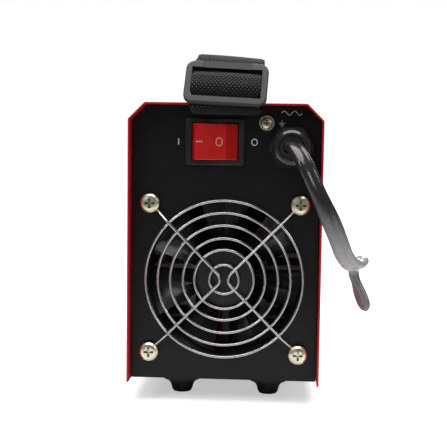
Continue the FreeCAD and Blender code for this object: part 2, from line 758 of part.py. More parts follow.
def make_guard_screws():
    """Four screws through guard, panel and fan, with their nuts."""
    head_seat = -S.panel_face - S.guard_wire * 2 - 0.06
    at = (S.fan_pitch, head_seat, S.fan_z + S.fan_pitch)
    screw = pan_screw("guard_screw", 5.4, 3.0, 2.0, 32.5, at, "-Y")
    nut_seat = S.fan_depth - PANEL_BACK + 0.05
    nut = hex_nut("guard_nut", 7.0, 2.05, (S.fan_pitch, nut_seat, S.fan_z + S.fan_pitch), 3.2, "Y")
    for label, piece in (("guard_screws", screw), ("guard_nuts", nut)):
        row = pair(label + "_row", piece, Vector(1, 0, 0))
        keep(label, pair(label + "_all", row, Vector(0, 0, 1), (0, 0, S.fan_z)))


# ---------------------------------------------------------------- power switch

def make_switch():
    """Bezel and housing of the rocker switch, the rocker and the terminals."""
    front = -S.panel_face - S.switch_bezel
    mouth_w = S.switch_mouth_width / 2
    mouth_h = S.switch_mouth_height / 2
    body = new_body("switch_body")
    bezel = sketch_on(body, "XZ_Plane", S.panel_face + CLEAR)
    rectangle(bezel, S.switch_x - S.switch_width / 2, S.switch_x + S.switch_width / 2,
              S.switch_z - S.switch_height / 2, S.switch_z + S.switch_height / 2)
    pad(body, bezel, S.switch_bezel)
    round_edges(body, lambda edge: straight_along(edge, Vector(0, 1, 0)), 2.0)
    face = value_of(front) - CLEAR
    round_edges(body, lambda edge: abs(edge.BoundBox.YMin - face) < 1e-4
                and abs(edge.BoundBox.YMax - face) < 1e-4, 0.7)
    shell = box("switch_shell", (S.switch_x - mouth_w - 0.8, -S.panel_face - 0.3,
                                 S.switch_z - mouth_h - 0.8),
                (S.switch_x + mouth_w + 0.8, -82.0, S.switch_z + mouth_h + 0.8))
    well = box("switch_well", (S.switch_x - mouth_w, front - 1, S.switch_z - mouth_h),
               (S.switch_x + mouth_w, front + 10.5, S.switch_z + mouth_h))
    pivot_y = front + 2.0
    journal = cylinder("switch_journal", 1.55,
                       (S.switch_x, pivot_y, S.switch_z - mouth_h - 0.6),
                       S.switch_mouth_height + 1.2, "Z")
    keep("switch_housing", cut("switch_housing_part", fuse("switch_solid", [body, shell]),
                               [well, journal]))
    make_rocker(pivot_y)
    tabs = []
    for index, (x, z) in enumerate(((-7.0, -5.5), (-7.0, 5.5), (7.0, -5.5), (7.0, 5.5))):
        tabs.append(box("switch_tab_%d" % index, (S.switch_x + x - 0.4, -81.98, S.switch_z + z - 3.1),
                        (S.switch_x + x + 0.4, -73.0, S.switch_z + z + 3.1)))
    keep("switch_terminals", compound("switch_tabs", tabs))


def make_rocker(pivot_y):
    """The rocker: a shallow V-shaped face with end faces curved about its pivot."""
    reach = value_of(S.rocker_reach)
    corner_angle = 22.4
    dip = 2.75
    corners = []
    for step in range(5):
        angle = math.radians(corner_angle - step * corner_angle / 2)
        corners.append((reach * math.cos(angle), reach * math.sin(angle)))
    profile = [(0.0, dip)] + corners + [(-x, y) for x, y in reversed(corners)]
    body = new_body("rocker_body")
    half = S.switch_mouth_height / 2 - 0.45
    sketch = sketch_on(body, "XY_Plane")
    outline(sketch, [(x, -y) for x, y in profile])
    pad(body, sketch, half * 2, both_ways=True)
    pins = sketch_on(body, "XY_Plane")
    circle(pins, 0, 0, 1.5)
    pad(body, pins, half * 2 + 1.5, both_ways=True)
    raised = value_of(S.switch_mouth_height) / 2 - 0.45
    round_edges(body, lambda edge: edge.CenterOfMass.y < -2.5 and edge.Length < 13.0
                and abs(edge.CenterOfMass.z) > raised - 0.1
                and abs(edge.CenterOfMass.x) > 1.0, 0.5)
    put(body, (S.switch_x, pivot_y, S.switch_z))
    tilt = Rotation(Vector(0, 0, 1), value_of(S.rocker_tilt))
    body.Placement = Placement(body.Placement.Base, tilt)
    body.setExpression("Placement.Rotation.Angle", "dims.rocker_tilt")
    keep("power_rocker", body)


# ---------------------------------------------------------------- cable entry and earth screw

def make_gland():
    """Cable gland: hexagon body, dome nut, rubber seal and lock nut."""
    face = -S.panel_face
    flange = hexagon("gland_flange", S.gland_flats, (S.gland_x, face - 5.0, S.gland_z), 4.98, "Y")
    round_flange = cylinder("gland_flange_round", 12.05, (S.gland_x, face - 5.0, S.gland_z),
                            4.98, "Y")
    trimmed = doc.addObject("Part::Common", "gland_flange_trimmed")
    trimmed.Base = flange
    trimmed.Tool = round_flange
    shank = cylinder("gland_shank", S.gland_thread, (S.gland_x, face - 4.0, S.gland_z), 12.0, "Y")
    collar = cylinder("gland_collar", 8.2, (S.gland_x, face - 11.0, S.gland_z), 7.0, "Y")
    passage = cylinder("gland_passage", 5.9, (S.gland_x, face - 20, S.gland_z), 40.0, "Y")
    keep("gland_body", cut("gland_body_part", fuse("gland_solid", [trimmed, shank, collar]),
                           [passage]))
    dome = turned("gland_dome", [
        (8.3, 5.06), (10.3, 5.06), (10.4, 6.0), (10.4, 11.5), (10.1, 13.2), (9.2, 14.9),
        (8.0, 16.0), (6.9, 16.3), (6.6, 15.9), (6.6, 13.2), (8.3, 13.2)],
        (S.gland_x, face, S.gland_z), "-Y")
    keep("gland_nut", dome)
    slot = flat_bar("gland_slot", S.cable_width / 2 + 0.05, S.cable_depth / 2 + 0.05,
                    -value_of(S.panel_face) - 20, -value_of(S.panel_face) - 5)
    plug = cylinder("gland_plug", 6.5, (S.gland_x, face - 15.4, S.gland_z), 4.3, "Y")
    keep("gland_seal", cut("gland_seal_part", plug, [slot]))
    keep("gland_locknut", hex_nut("gland_locknut_part", 24.0, S.gland_thread + 0.05,
                                  (S.gland_x, -PANEL_BACK + CLEAR, S.gland_z), 4.5, "Y"))


def flat_outline(centre, across, depth, half_width, half_depth):
    """A closed flat-oval loop about a point, in the plane of two unit directions."""
    straight = half_width - half_depth
    points = []
    for side in (1, -1):
        for step in range(7):
            angle = math.pi / 2 - step * math.pi / 6
            along = side * (straight + half_depth * math.cos(angle))
            up = side * half_depth * math.sin(angle)
            points.append(centre + across * along + depth * up)
    return Part.makePolygon(points + [points[0]])


def flat_bar(name, half_width, half_depth, start, end):
    """A straight length of flat cable through the gland, along Y."""
    centre = Vector(value_of(S.gland_x), start, value_of(S.gland_z))
    loop = flat_outline(centre, Vector(1, 0, 0), Vector(0, 0, 1),
                        value_of(half_width), value_of(half_depth))
    return solid_feature(name, Part.Face(loop).extrude(Vector(0, end - start, 0)))


def make_cable():
    """The flat mains cable, hanging down beside the case."""
    x = value_of(S.gland_x)
    z = value_of(S.gland_z)
    path = [(x, -94, z), (x, -104, z), (x, -114, z), (x, -124, z), (x + 2.5, -136, z - 3.5),
            (x + 7.5, -143, z - 12), (x + 14, -142, z - 24), (x + 20.5, -138, z - 36),
            (x + 25, -134, z - 46), (x + 29, -130, z - 56), (x + 33.5, -125, z - 66),
            (x + 38, -120, z - 76), (x + 43, -117, z - 86)]
    points = [Vector(*point) for point in path]
    loops = []
    for index, point in enumerate(points):
        before = points[max(index - 1, 0)]
        after = points[min(index + 1, len(points) - 1)]
        tangent = (after - before).normalize()
        across = Vector(1, 0, 0) - tangent * tangent.x
        across.normalize()
        depth = tangent.cross(across)
        loops.append(flat_outline(point, across, depth, value_of(S.cable_width) / 2,
                                  value_of(S.cable_depth) / 2))
    keep("mains_cable", solid_feature("mains_cable_part", Part.makeLoft(loops, True, True)))


def lead(name, path, radius):
    """One insulated conductor along a smooth path."""
    return solid_feature(name, swept_round(path, radius))


def make_mains_leads():
    """The cable's two power conductors, from the gland to the switch."""
    x = value_of(S.gland_x)
    z = value_of(S.gland_z)
    start = -93.4
    tab_x = value_of(S.switch_x) + 7.0
    tab_end = -72.4
    low = [(x - 2.6, start, z), (x - 2.8, -86, z - 0.4), (24, -72.5, z - 1.4), (14, -66, z - 2.6),
           (6, -63.6, z - 2.9), (tab_x + 1, -65.4, z - 2.9), (tab_x, -69.5, z - 2.9),
           (tab_x, tab_end, z - 2.9)]
    high = [(x + 0.1, start, z), (x - 0.2, -86, z + 0.6), (26, -66, z + 5), (15, -61.8, z + 7.6),
            (6, -60.8, z + 8.1), (tab_x + 0.8, -64.5, z + 8.1), (tab_x, -69, z + 8.1),
            (tab_x, tab_end, z + 8.1)]
    keep("mains_leads", compound("mains_leads_part", [lead("lead_low", low, 1.2),
                                                      lead("lead_high", high, 1.2)]))


def make_switch_leads():
    """Two conductors from the switch down to the power board."""
    z = value_of(S.gland_z)
    left = value_of(S.switch_x) - 7.0
    tab_end = -72.4
    board_top = value_of(S.board_z) + value_of(S.board_gauge) + 0.2
    near = [(left, tab_end, z - 2.9), (left, -69, z - 2.9), (left + 2, -63, z - 20),
            (2.0, -64, 100), (6.0, -69.5, 60), (6.0, -70, 34), (6.0, -70, board_top)]
    far = [(left, tab_end, z + 8.1), (left, -68, z + 8.1), (left - 4, -58, z - 20),
           (-4.0, -60, 100), (-4.0, -66, 60), (-4.0, -70, 34), (-4.0, -70, board_top)]
    keep("switch_leads", compound("switch_leads_part", [lead("switch_lead_near", near, 1.2),
                                                        lead("switch_lead_far", far, 1.2)]))


def make_fan_lead():
    """The fan's lead, from its frame down past the heatsink to the power board."""
    fan_back = value_of(S.fan_depth) - value_of(PANEL_BACK)
    board_top = value_of(S.board_z) + value_of(S.board_gauge) + 0.2
    path = [(-43, fan_back + 0.3, 98), (-43, fan_back + 3, 98), (-45, -73, 88), (-46, -71.5, 60),
            (-44.5, -71.5, 36), (-43.5, -71.5, 30), (-43.5, -71.5, board_top)]
    keep("fan_lead", lead("fan_lead_part", path, 0.8))


def make_earth_lead():
    """The cable's earth conductor, from the gland up to the earth screw."""
    x = value_of(S.gland_x)
    z = value_of(S.gland_z)
    beside = value_of(S.earth_x) + 5.0
    earth_z = value_of(S.earth_z)
    path = [(x + 2.9, -93.4, z), (x + 3.4, -89, z + 1.2), (x + 2.5, -84, z + 6.5), (31, -84, 153.5),
            (beside + 0.8, -89, earth_z + 0.3), (beside, -94, earth_z), (beside, -99.4, earth_z)]
    keep("earth_lead", lead("earth_lead_part", path, 1.1))


def make_earth_screw():
    """Earth screw through the rear panel with its washer and nut."""
    face = -S.panel_face
    keep("earth_screw", pan_screw("earth_screw_body", 3.3, 2.4, 1.95, 10.0,
                                  (S.earth_x, face - 0.85, S.earth_z), "-Y"))
    keep("earth_washer", tube("earth_washer_part", 4.1, 2.05,
                              (S.earth_x, face - 0.82, S.earth_z), 0.8, "Y"))
    keep("earth_nut", hex_nut("earth_nut_part", 7.0, 2.0,
                              (S.earth_x, -PANEL_BACK + CLEAR, S.earth_z), 3.2, "Y"))


# ---------------------------------------------------------------- carrying strap

def slider_point(along, outward):
    """A place on the slider's side view, as (y, z) in the row frame."""
    lean = math.radians(value_of(S.slider_lean))
    y = value_of(S.slider_y) + along * math.sin(lean) - outward * math.cos(lean)
    z = (value_of(S.cover_top) + value_of(S.slider_lift)
         + along * math.cos(lean) + outward * math.sin(lean))
    return y, z


def strap_centreline():
    """Side view of the webbing, from the rear clamp over the arch to the front clamp."""
    top = value_of(S.cover_top)
    under = value_of(INNER_TOP) - value_of(S.strap_gauge) / 2 - 0.2
    end = value_of(S.clamp_y) - 7
    crest = top + value_of(S.strap_rise)
    rear = [(-end, under), (-98.0, under), (-106.0, under - 0.1), (-110.0, top - 2.7),
            (-113.2, top - 4.5), (-115.6, top - 5.5), (-117.3, top - 5.1)]
    weave = [slider_point(along, outward) for along, outward in (
        (-13.4, -2.75), (-10.5, -2.8), (-8.0, -2.75), (-5.5, -0.1), (-3.0, 2.25), (0.0, 2.5),
        (3.0, 2.25), (5.5, -0.1), (8.0, -2.75), (10.5, -2.8), (13.4, -2.75))]
    arch = [(-102.6, crest - 2.5), (-97.0, crest - 0.5), (-88.0, crest), (-60.0, crest),
            (-20.0, crest), (20.0, crest), (60.0, crest), (88.0, crest - 0.8),
            (101.0, top + 22.0), (110.0, top + 11.0), (116.4, top + 1.0)]
    front = [(117.3, top - 3.4), (115.6, top - 5.5), (113.2, top - 4.5), (110.0, top - 2.7),
             (106.0, under - 0.1), (98.0, under), (end, under)]
    return rear + weave + arch + front


def make_strap():
    """The webbing, as a ribbon of constant thickness."""
    curve = Part.BSplineCurve()
    curve.interpolate([Vector(0, y, z) for y, z in strap_centreline()])
    half = value_of(S.strap_gauge) / 2
    steps = 260
    outer = []
    inner = []
    for step in range(steps + 1):
        parameter = curve.FirstParameter + (curve.LastParameter - curve.FirstParameter) * step / steps
        place = curve.value(parameter)
        tangent = curve.tangent(parameter)[0]
        normal = Vector(0, -tangent.z, tangent.y)
        outer.append(place + normal * half)
        inner.append(place - normal * half)
    loop = Part.makePolygon(outer + inner[::-1] + [outer[0]])
    width = value_of(S.strap_width)
    ribbon = Part.Face(loop).extrude(Vector(width, 0, 0))
    for x in (width / 2 - value_of(S.clamp_x), width / 2 + value_of(S.clamp_x)):
        for y in (-value_of(S.clamp_y), value_of(S.clamp_y)):
            low = Vector(x, y, value_of(INNER_TOP) - 6)
            ribbon = ribbon.cut(Part.makeCylinder(2.3, 10, low))
    place = Placement(Vector(-width / 2, 0, 0), Rotation())
    keep("carry_strap", solid_feature("carry_strap_part", ribbon, place))


def make_slider():
    """Three-bar strap slider, leaning back against the webbing."""
    body = new_body("slider_body")
    frame = sketch_on(body, "XY_Plane")
    rectangle(frame, -S.slider_width / 2, S.slider_width / 2,
              -S.slider_height / 2, S.slider_height / 2)
    pad(body, frame, S.slider_gauge, both_ways=True)
    round_edges(body, lambda edge: straight_along(edge, Vector(0, 0, 1)), 5.0)
    round_edges(body, lambda edge: abs(edge.CenterOfMass.z) > 1.0, 0.9)
    windows = sketch_on(body, "XY_Plane")
    window_side = S.slider_width / 2 - 3.3
    bar = S.slider_height / 2 - 4.0
    rectangle(windows, -window_side, window_side, 1.9, bar)
    rectangle(windows, -window_side, window_side, -bar, -1.9)
    pocket(body, windows, S.slider_gauge + 2)
    recess = sketch_on(body, "XY_Plane", S.slider_gauge / 2)
    rectangle(recess, -13.0, 13.0, bar - 1, S.slider_height / 2 + 1)
    pocket(body, recess, 1.0)
    thinning = sketch_on(body, "XY_Plane", S.slider_gauge / 2)
    rectangle(thinning, -window_side, window_side, -2.5, 2.5)
    pocket(body, thinning, 0.8)
    put(body, (0, S.slider_y, S.cover_top + S.slider_lift))
    lean = Rotation(Vector(1, 0, 0), 90 - value_of(S.slider_lean))
    roll = Rotation(Vector(0, 0, 1), -value_of(S.slider_roll))
    body.Placement = Placement(body.Placement.Base, lean.multiply(roll))
    keep("strap_slider", body)


def make_clamps():
    """Clamp bars that hold the webbing's ends under the cover, with screws and nuts."""
    thick = 2.0
    bar_top = INNER_TOP - S.strap_gauge - 0.4
    bar = box("clamp_bar", (-S.clamp_x - 7.0, S.clamp_y - 6.0, bar_top - thick),
              (S.clamp_x + 7.0, S.clamp_y + 6.0, bar_top))
    hole = cylinder("clamp_hole", 2.1, (S.clamp_x, S.clamp_y, bar_top - thick - 1), 4.0, "Z")
    bar_part = cut("clamp_bar_part", bar, [pair("clamp_holes", hole, Vector(1, 0, 0))])
    keep("strap_clamps", pair("strap_clamps_all", bar_part, Vector(0, 1, 0)))
    screw = pan_screw("clamp_screw", 3.9, 2.4, 1.95, 9.0,
                      (S.clamp_x, S.clamp_y, S.cover_top + CLEAR), "+Z")
    nut = hex_nut("clamp_nut", 7.0, 2.0, (S.clamp_x, S.clamp_y, bar_top - thick - 3.2), 3.18, "Z")
    for label, piece in (("clamp_screws", screw), ("clamp_nuts", nut)):
        row = pair(label + "_row", piece, Vector(1, 0, 0))
        keep(label, pair(label + "_all", row, Vector(0, 1, 0)))


# ---------------------------------------------------------------- socket end

def make_sockets():
    """Two twist-lock output sockets: insulating shell, brass contact and lock nut."""
    face = value_of(S.panel_face)
    at = (S.socket_x, 0, S.socket_z)
    shell = turned("socket_shell", [
        (8.1, face - 12), (S.socket_barrel, face - 12), (S.socket_barrel, face + CLEAR),
        (17.0, face + CLEAR),
        (17.0, face + 5), (15.5, face + 6.5), (14.6, face + 13), (13.6, face + 14),
        (9.2, face + 14), (8.1, face + 12.5)], at)
    contact = turned("socket_contact", [
        (S.socket_bore, face + 8), (8.0, face + 8), (8.0, face - 12.05), (9.5, face - 12.05),
        (9.5, face - 15), (4.0, face - 15), (4.0, face - 29), (0, face - 29), (0, face - 10),
        (S.socket_bore, face - 10)], at)
    nut = cut("socket_nut_part",
              hexagon("socket_nut_hexagon", 30.0, (S.socket_x, PANEL_BACK - 5.0, S.socket_z), 4.98, "Y"),
              [cylinder("socket_nut_hole", 12.05, (S.socket_x, PANEL_BACK - 6, S.socket_z), 8.0, "Y")])
    for label, piece in (("socket_shells", shell), ("socket_contacts", contact),
                         ("socket_nuts", nut)):
        keep(label, pair(label + "_all", piece, Vector(1, 0, 0)))


def make_current_control():
    """Current knob on a potentiometer behind the front panel."""
    face = value_of(S.panel_face)
    back = value_of(PANEL_BACK)
    at = (0, 0, S.knob_z)
    knob = turned("knob_turning", [
        (3.02, face + 3.4), (6.0, face + 3.4), (6.0, face + 3.0), (S.knob_radius, face + 3.0),
        (S.knob_radius, face + 5.0), (10.6, face + 6.2), (10.0, face + 16.0),
        (9.0, face + 17.0), (0, face + 17.0), (0, face + 15.0), (3.02, face + 15.0)], at)
    pointer = sketch_on(knob, "XZ_Plane", -(S.panel_face + 17.0))
    rectangle(pointer, -0.7, 0.7, 2.5, 9.6)
    pocket(knob, pointer, 1.2)
    rest = Rotation(Vector(0, 1, 0), value_of(S.knob_rest))
    knob.Placement = Placement(knob.Placement.Base, rest)
    keep("current_knob", knob)
    keep("knob_shaft", cylinder("knob_shaft_part", 3.0, (0, back - 5.0, S.knob_z), 18.5, "Y"))
    pot = turned("potentiometer_body", [
        (3.06, back - 6), (8.2, back - 6), (8.2, back - CLEAR), (3.6, back - CLEAR),
        (3.6, face + 2.6), (3.06, face + 2.6)], at)
    keep("potentiometer", pot)
    keep("knob_nut", hex_nut("knob_nut_part", 10.0, 3.65, (0, S.panel_face + CLEAR, S.knob_z),
                             2.0, "Y"))


def make_lamps():
    """Two domed indicator lamps in the front panel."""
    face = value_of(S.panel_face)
    for label, side in (("power_lamp", -1), ("fault_lamp", 1)):
        lamp = turned(label + "_body", [
            (0, face - 7), (2.95, face - 7), (2.95, face - 1.25), (2.5, face - 1.25),
            (2.5, face + 0.9), (2.2, face + 2.1), (1.4, face + 2.9), (0, face + 3.2)],
            (S.lamp_x * side, 0, S.lamp_z))
        keep(label, lamp)


def make_control_board():
    """Upright board that carries the potentiometer and the lamps."""
    back = PANEL_BACK - 6.05
    plate = box("control_plate", (-34.0, back - S.board_gauge, 106.0), (34.0, back, 152.0))
    shaft = cylinder("control_shaft_hole", 4.0, (0, back - 4, S.knob_z), 8.0, "Y")
    keep("control_board", cut("control_board_part", plate, [shaft]))
    chips = []
    for index, (x, z) in enumerate(((-22.0, 112.0), (-4.0, 110.0), (14.0, 112.0))):
        chips.append(box("control_chip_%d" % index, (x, back - S.board_gauge - 3.2, z),
                         (x + 9.0, back - S.board_gauge - 0.05, z + 6.0)))
    keep("control_chips", compound("control_chips_part", chips))


# ---------------------------------------------------------------- power stage

def make_power_board():
    """Power board on four spacers with screws."""
    top = S.board_z + S.board_gauge
    plate = box("power_plate", (-46.0, -74.0, S.board_z), (46.0, 74.0, top))
    corner = (S.board_hole_x, S.board_hole_y)
    hole = cylinder("power_hole", 1.6, corner + (S.board_z - 1,), 4.0, "Z")
    row = pair("power_hole_row", hole, Vector(1, 0, 0))
    keep("power_board", cut("power_board_part", plate,
                            [pair("power_hole_all", row, Vector(0, 1, 0))]))
    spacer = tube("board_spacer", 3.0, 1.6, corner + (FLOOR + CLEAR,),
                  S.board_z - FLOOR - CLEAR * 2, "Z")
    screw = pan_screw("board_screw", 2.8, 1.8, 1.45, 10.0, corner + (top + CLEAR,), "+Z")
    for label, piece in (("board_spacers", spacer), ("board_screws", screw)):
        line = pair(label + "_row", piece, Vector(1, 0, 0))
        keep(label, pair(label + "_all", line, Vector(0, 1, 0)))


def make_heatsinks():
    """Two finned aluminium heatsinks standing in the fan's air stream."""
    low = value_of(S.board_z) + value_of(S.board_gauge) + 0.05
    body = new_body("heatsink_body")
    sketch = sketch_on(body, "XZ_Plane")
    corners = [(19.0, low), (19.0, low + 56), (23.0, low + 56)]
    for fin in range(8):
        high = low + 56 - fin * 7.4
        corners += [(44.0, high), (44.0, high - 2.2), (23.0, high - 2.2), (23.0, high - 7.4)]
    corners = corners[:-1] + [(23.0, low)]
    outline(sketch, corners)
    pad(body, sketch, 96.0, both_ways=True)
    put(body, (0, -20.0, 0))
    keep("heatsinks", pair("heatsinks_all", body, Vector(1, 0, 0)))
    blocks = []
    for index in range(4):
        y = -62.0 + index * 23.0
        blocks.append(box("transistor_%d" % index, (14.0, y, low + 8), (18.95, y + 16, low + 29)))
    keep("transistors", pair("transistors_all", compound("transistor_row", blocks),
                             Vector(1, 0, 0)))


def make_board_parts():
    """Storage capacitors, bridge rectifier and relay on the power board."""
    low = S.board_z + S.board_gauge + 0.05
    cans = [cylinder("capacitor_%d" % index, 11.5, (0, y, low), 46.0, "Z")
            for index, y in enumerate((-46.0, -20.0, 6.0))]
    keep("capacitors", compound("capacitors_part", cans))
    keep("bridge_rectifier", box("bridge_part", (-11.0, 21.0, low), (11.0, 27.0, low + 22)))
    keep("relay", box("relay_part", (-45.5, 36.0, low), (-33.0, 64.0, low + 16)))


def make_transformer():
    """Output transformer: rectangular ferrite core around a winding."""
    low = S.board_z + S.board_gauge + 0.05
    core = box("core_block", (-22.0, 34.0, low), (22.0, 66.0, low + 44))
    window = box("core_window", (-16.0, 33.0, low + 9), (16.0, 67.0, low + 35))
    limb = box("core_limb", (-7.0, 34.0, low + 8), (7.0, 66.0, low + 36))
    shell = cut("core_shell", core, [window])
    keep("transformer_core", fuse("transformer_core_part", [shell, limb]))
    coil = box("coil_block", (-15.5, 29.0, low + 9.5), (15.5, 71.0, low + 34.5))
    gap = box("coil_gap", (-7.2, 33.5, low + 8), (7.2, 66.5, low + 36))
    keep("transformer_winding", cut("transformer_winding_part", coil, [gap]))


def make_output_bars():
    """Copper bars from the transformer to the output sockets."""
    low = value_of(S.board_z) + value_of(S.board_gauge) + 0.05
    rear = S.panel_face - 27.0
    plate = box("output_bar_plate", (16.5, rear, low), (32.0, rear + 2.5, S.socket_z + 8))
    hole = cylinder("output_bar_hole", 4.1, (S.socket_x, rear - 2, S.socket_z), 8.0, "Y")
    foot = box("output_bar_foot", (24.0, 50.0, low), (32.0, rear + 1, low + 2.5))
    bars = fuse("output_bar", [cut("output_bar_upright", plate, [hole]), foot])
    keep("output_bars", pair("output_bars_all", bars, Vector(1, 0, 0)))
    nut = hex_nut("terminal_nut", 13.0, 4.05, (S.socket_x, rear - 5.0, S.socket_z), 4.98, "Y")
    keep("terminal_nuts", pair("terminal_nuts_all", nut, Vector(1, 0, 0)))


# ---------------------------------------------------------------- build and export

BUILDERS = [
    make_cover, make_chassis, make_cover_screws, make_feet,
    make_fan_frame, make_fan_rotor, make_fan_motor, make_fan_guard, make_guard_screws,
    make_switch, make_gland, make_cable,
    make_mains_leads, make_switch_leads, make_fan_lead, make_earth_lead, make_earth_screw,
    make_strap, make_slider, make_clamps,
    make_sockets, make_current_control, make_lamps, make_control_board,
    make_power_board, make_heatsinks, make_board_parts, make_transformer, make_output_bars,
]
for build in BUILDERS:
    build()
    doc.recompute()

for item in doc.Objects:
    if "Invalid" in item.State or "Error" in item.State:
        raise RuntimeError("%s did not rebuild: %s" % (item.Name, item.State))
for node in NODES:
    if node.Shape.isNull() or not node.Shape.isValid() or not node.Shape.Solids:
        raise RuntimeError("%s has no valid solid" % node.Label)

os.makedirs("parts", exist_ok=True)
to_origin = Vector(-value_of(S.origin_x), -value_of(S.origin_y), 0)
for node in NODES:
    moved = node.Shape.copy()
    moved.translate(to_origin)
    moved.exportStep("parts/%s.step" % node.Label)
print("pieces:", len(NODES))
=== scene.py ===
import json
import math

import bpy
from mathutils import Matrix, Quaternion, Vector


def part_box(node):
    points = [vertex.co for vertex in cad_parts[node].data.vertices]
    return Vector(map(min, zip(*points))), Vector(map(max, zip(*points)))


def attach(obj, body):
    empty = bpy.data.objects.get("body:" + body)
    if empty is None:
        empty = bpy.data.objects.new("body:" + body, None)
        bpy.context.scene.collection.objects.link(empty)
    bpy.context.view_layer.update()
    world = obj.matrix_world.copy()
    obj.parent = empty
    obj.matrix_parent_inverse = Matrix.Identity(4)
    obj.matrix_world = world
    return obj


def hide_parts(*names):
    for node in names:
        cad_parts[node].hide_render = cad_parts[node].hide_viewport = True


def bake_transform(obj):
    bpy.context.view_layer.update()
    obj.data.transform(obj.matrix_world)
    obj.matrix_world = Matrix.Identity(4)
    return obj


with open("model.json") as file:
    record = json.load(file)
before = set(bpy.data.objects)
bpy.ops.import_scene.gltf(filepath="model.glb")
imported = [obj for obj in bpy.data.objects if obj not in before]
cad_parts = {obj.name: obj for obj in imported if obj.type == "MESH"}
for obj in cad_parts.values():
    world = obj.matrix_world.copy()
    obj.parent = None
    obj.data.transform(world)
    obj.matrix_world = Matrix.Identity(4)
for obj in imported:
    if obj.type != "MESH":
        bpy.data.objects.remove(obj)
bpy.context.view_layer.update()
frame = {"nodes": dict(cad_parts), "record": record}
MM = 0.001
RIGHT = Vector((1, 0, 0))
UP = Vector((0, 0, 1))

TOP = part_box("cover")[1].z
CHASSIS_LOW, CHASSIS_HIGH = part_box("chassis")
REAR_FACE = CHASSIS_LOW.y
FRONT_FACE = CHASSIS_HIGH.y


def middle(node):
    """Centre of a CAD node's box."""
    low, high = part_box(node)
    return (low + high) / 2


CASE = middle("cover")
SWITCH = middle("switch_housing")
GLAND = middle("gland_nut")
EARTH = middle("earth_washer")
KNOB = middle("current_knob")
SLIDER = middle("strap_slider")

# The strap's slider leans towards the socket end, and is rolled a little in its own plane.
LEAN = math.radians(28)
ROLL = math.radians(3)
UP_STRAP = Vector((0, math.sin(LEAN), math.cos(LEAN)))
OUT_STRAP = Vector((0, -math.cos(LEAN), math.sin(LEAN)))
ROLLED_SIDE = RIGHT * math.cos(ROLL) - UP_STRAP * math.sin(ROLL)
ROLLED_UP = UP_STRAP * math.cos(ROLL) + RIGHT * math.sin(ROLL)

YARN = 1.05 * MM           # width of one yarn of the webbing
WEBBING_HALF = 0.85 * MM   # half the webbing's thickness
CROWN = 0.3 * MM           # bulge of the webbing's middle at the slider
CREST = 25.6               # height of the strap's arch over the cover, in millimetres
SPLIT_STATION = 16         # station behind the slider's top bar, where the webbing is split

SHEATH_HALF_WIDTH = 4.9 * MM
SHEATH_HALF_DEPTH = 2.65 * MM
CABLE_TIP = 6 * MM         # length over which the cable's end rounds off
# Each twist is degrees turned, share of the length where it starts, share that it takes.
CABLE_TWISTS = ((-14, 0.1, 0.3), (66, 0.42, 0.2), (-42, 0.85, 0.1))

PRINT_THICKNESS = 0.05     # millimetres
PANEL_GAP = 0.01 * MM
ROCKER_GAP = 0.02 * MM

CAMERA_PLACE = Vector((CASE.x + 27.16 * MM, REAR_FACE - 520 * MM, 144.27 * MM))
CAMERA_YAW = math.radians(-3.079)
CAMERA_PITCH = math.radians(4.854)
CAMERA_ROLL = math.radians(0.807)
CAMERA_LENS = 76.65
CAMERA_SENSOR = 36.0


# ---------------------------------------------------------------- materials

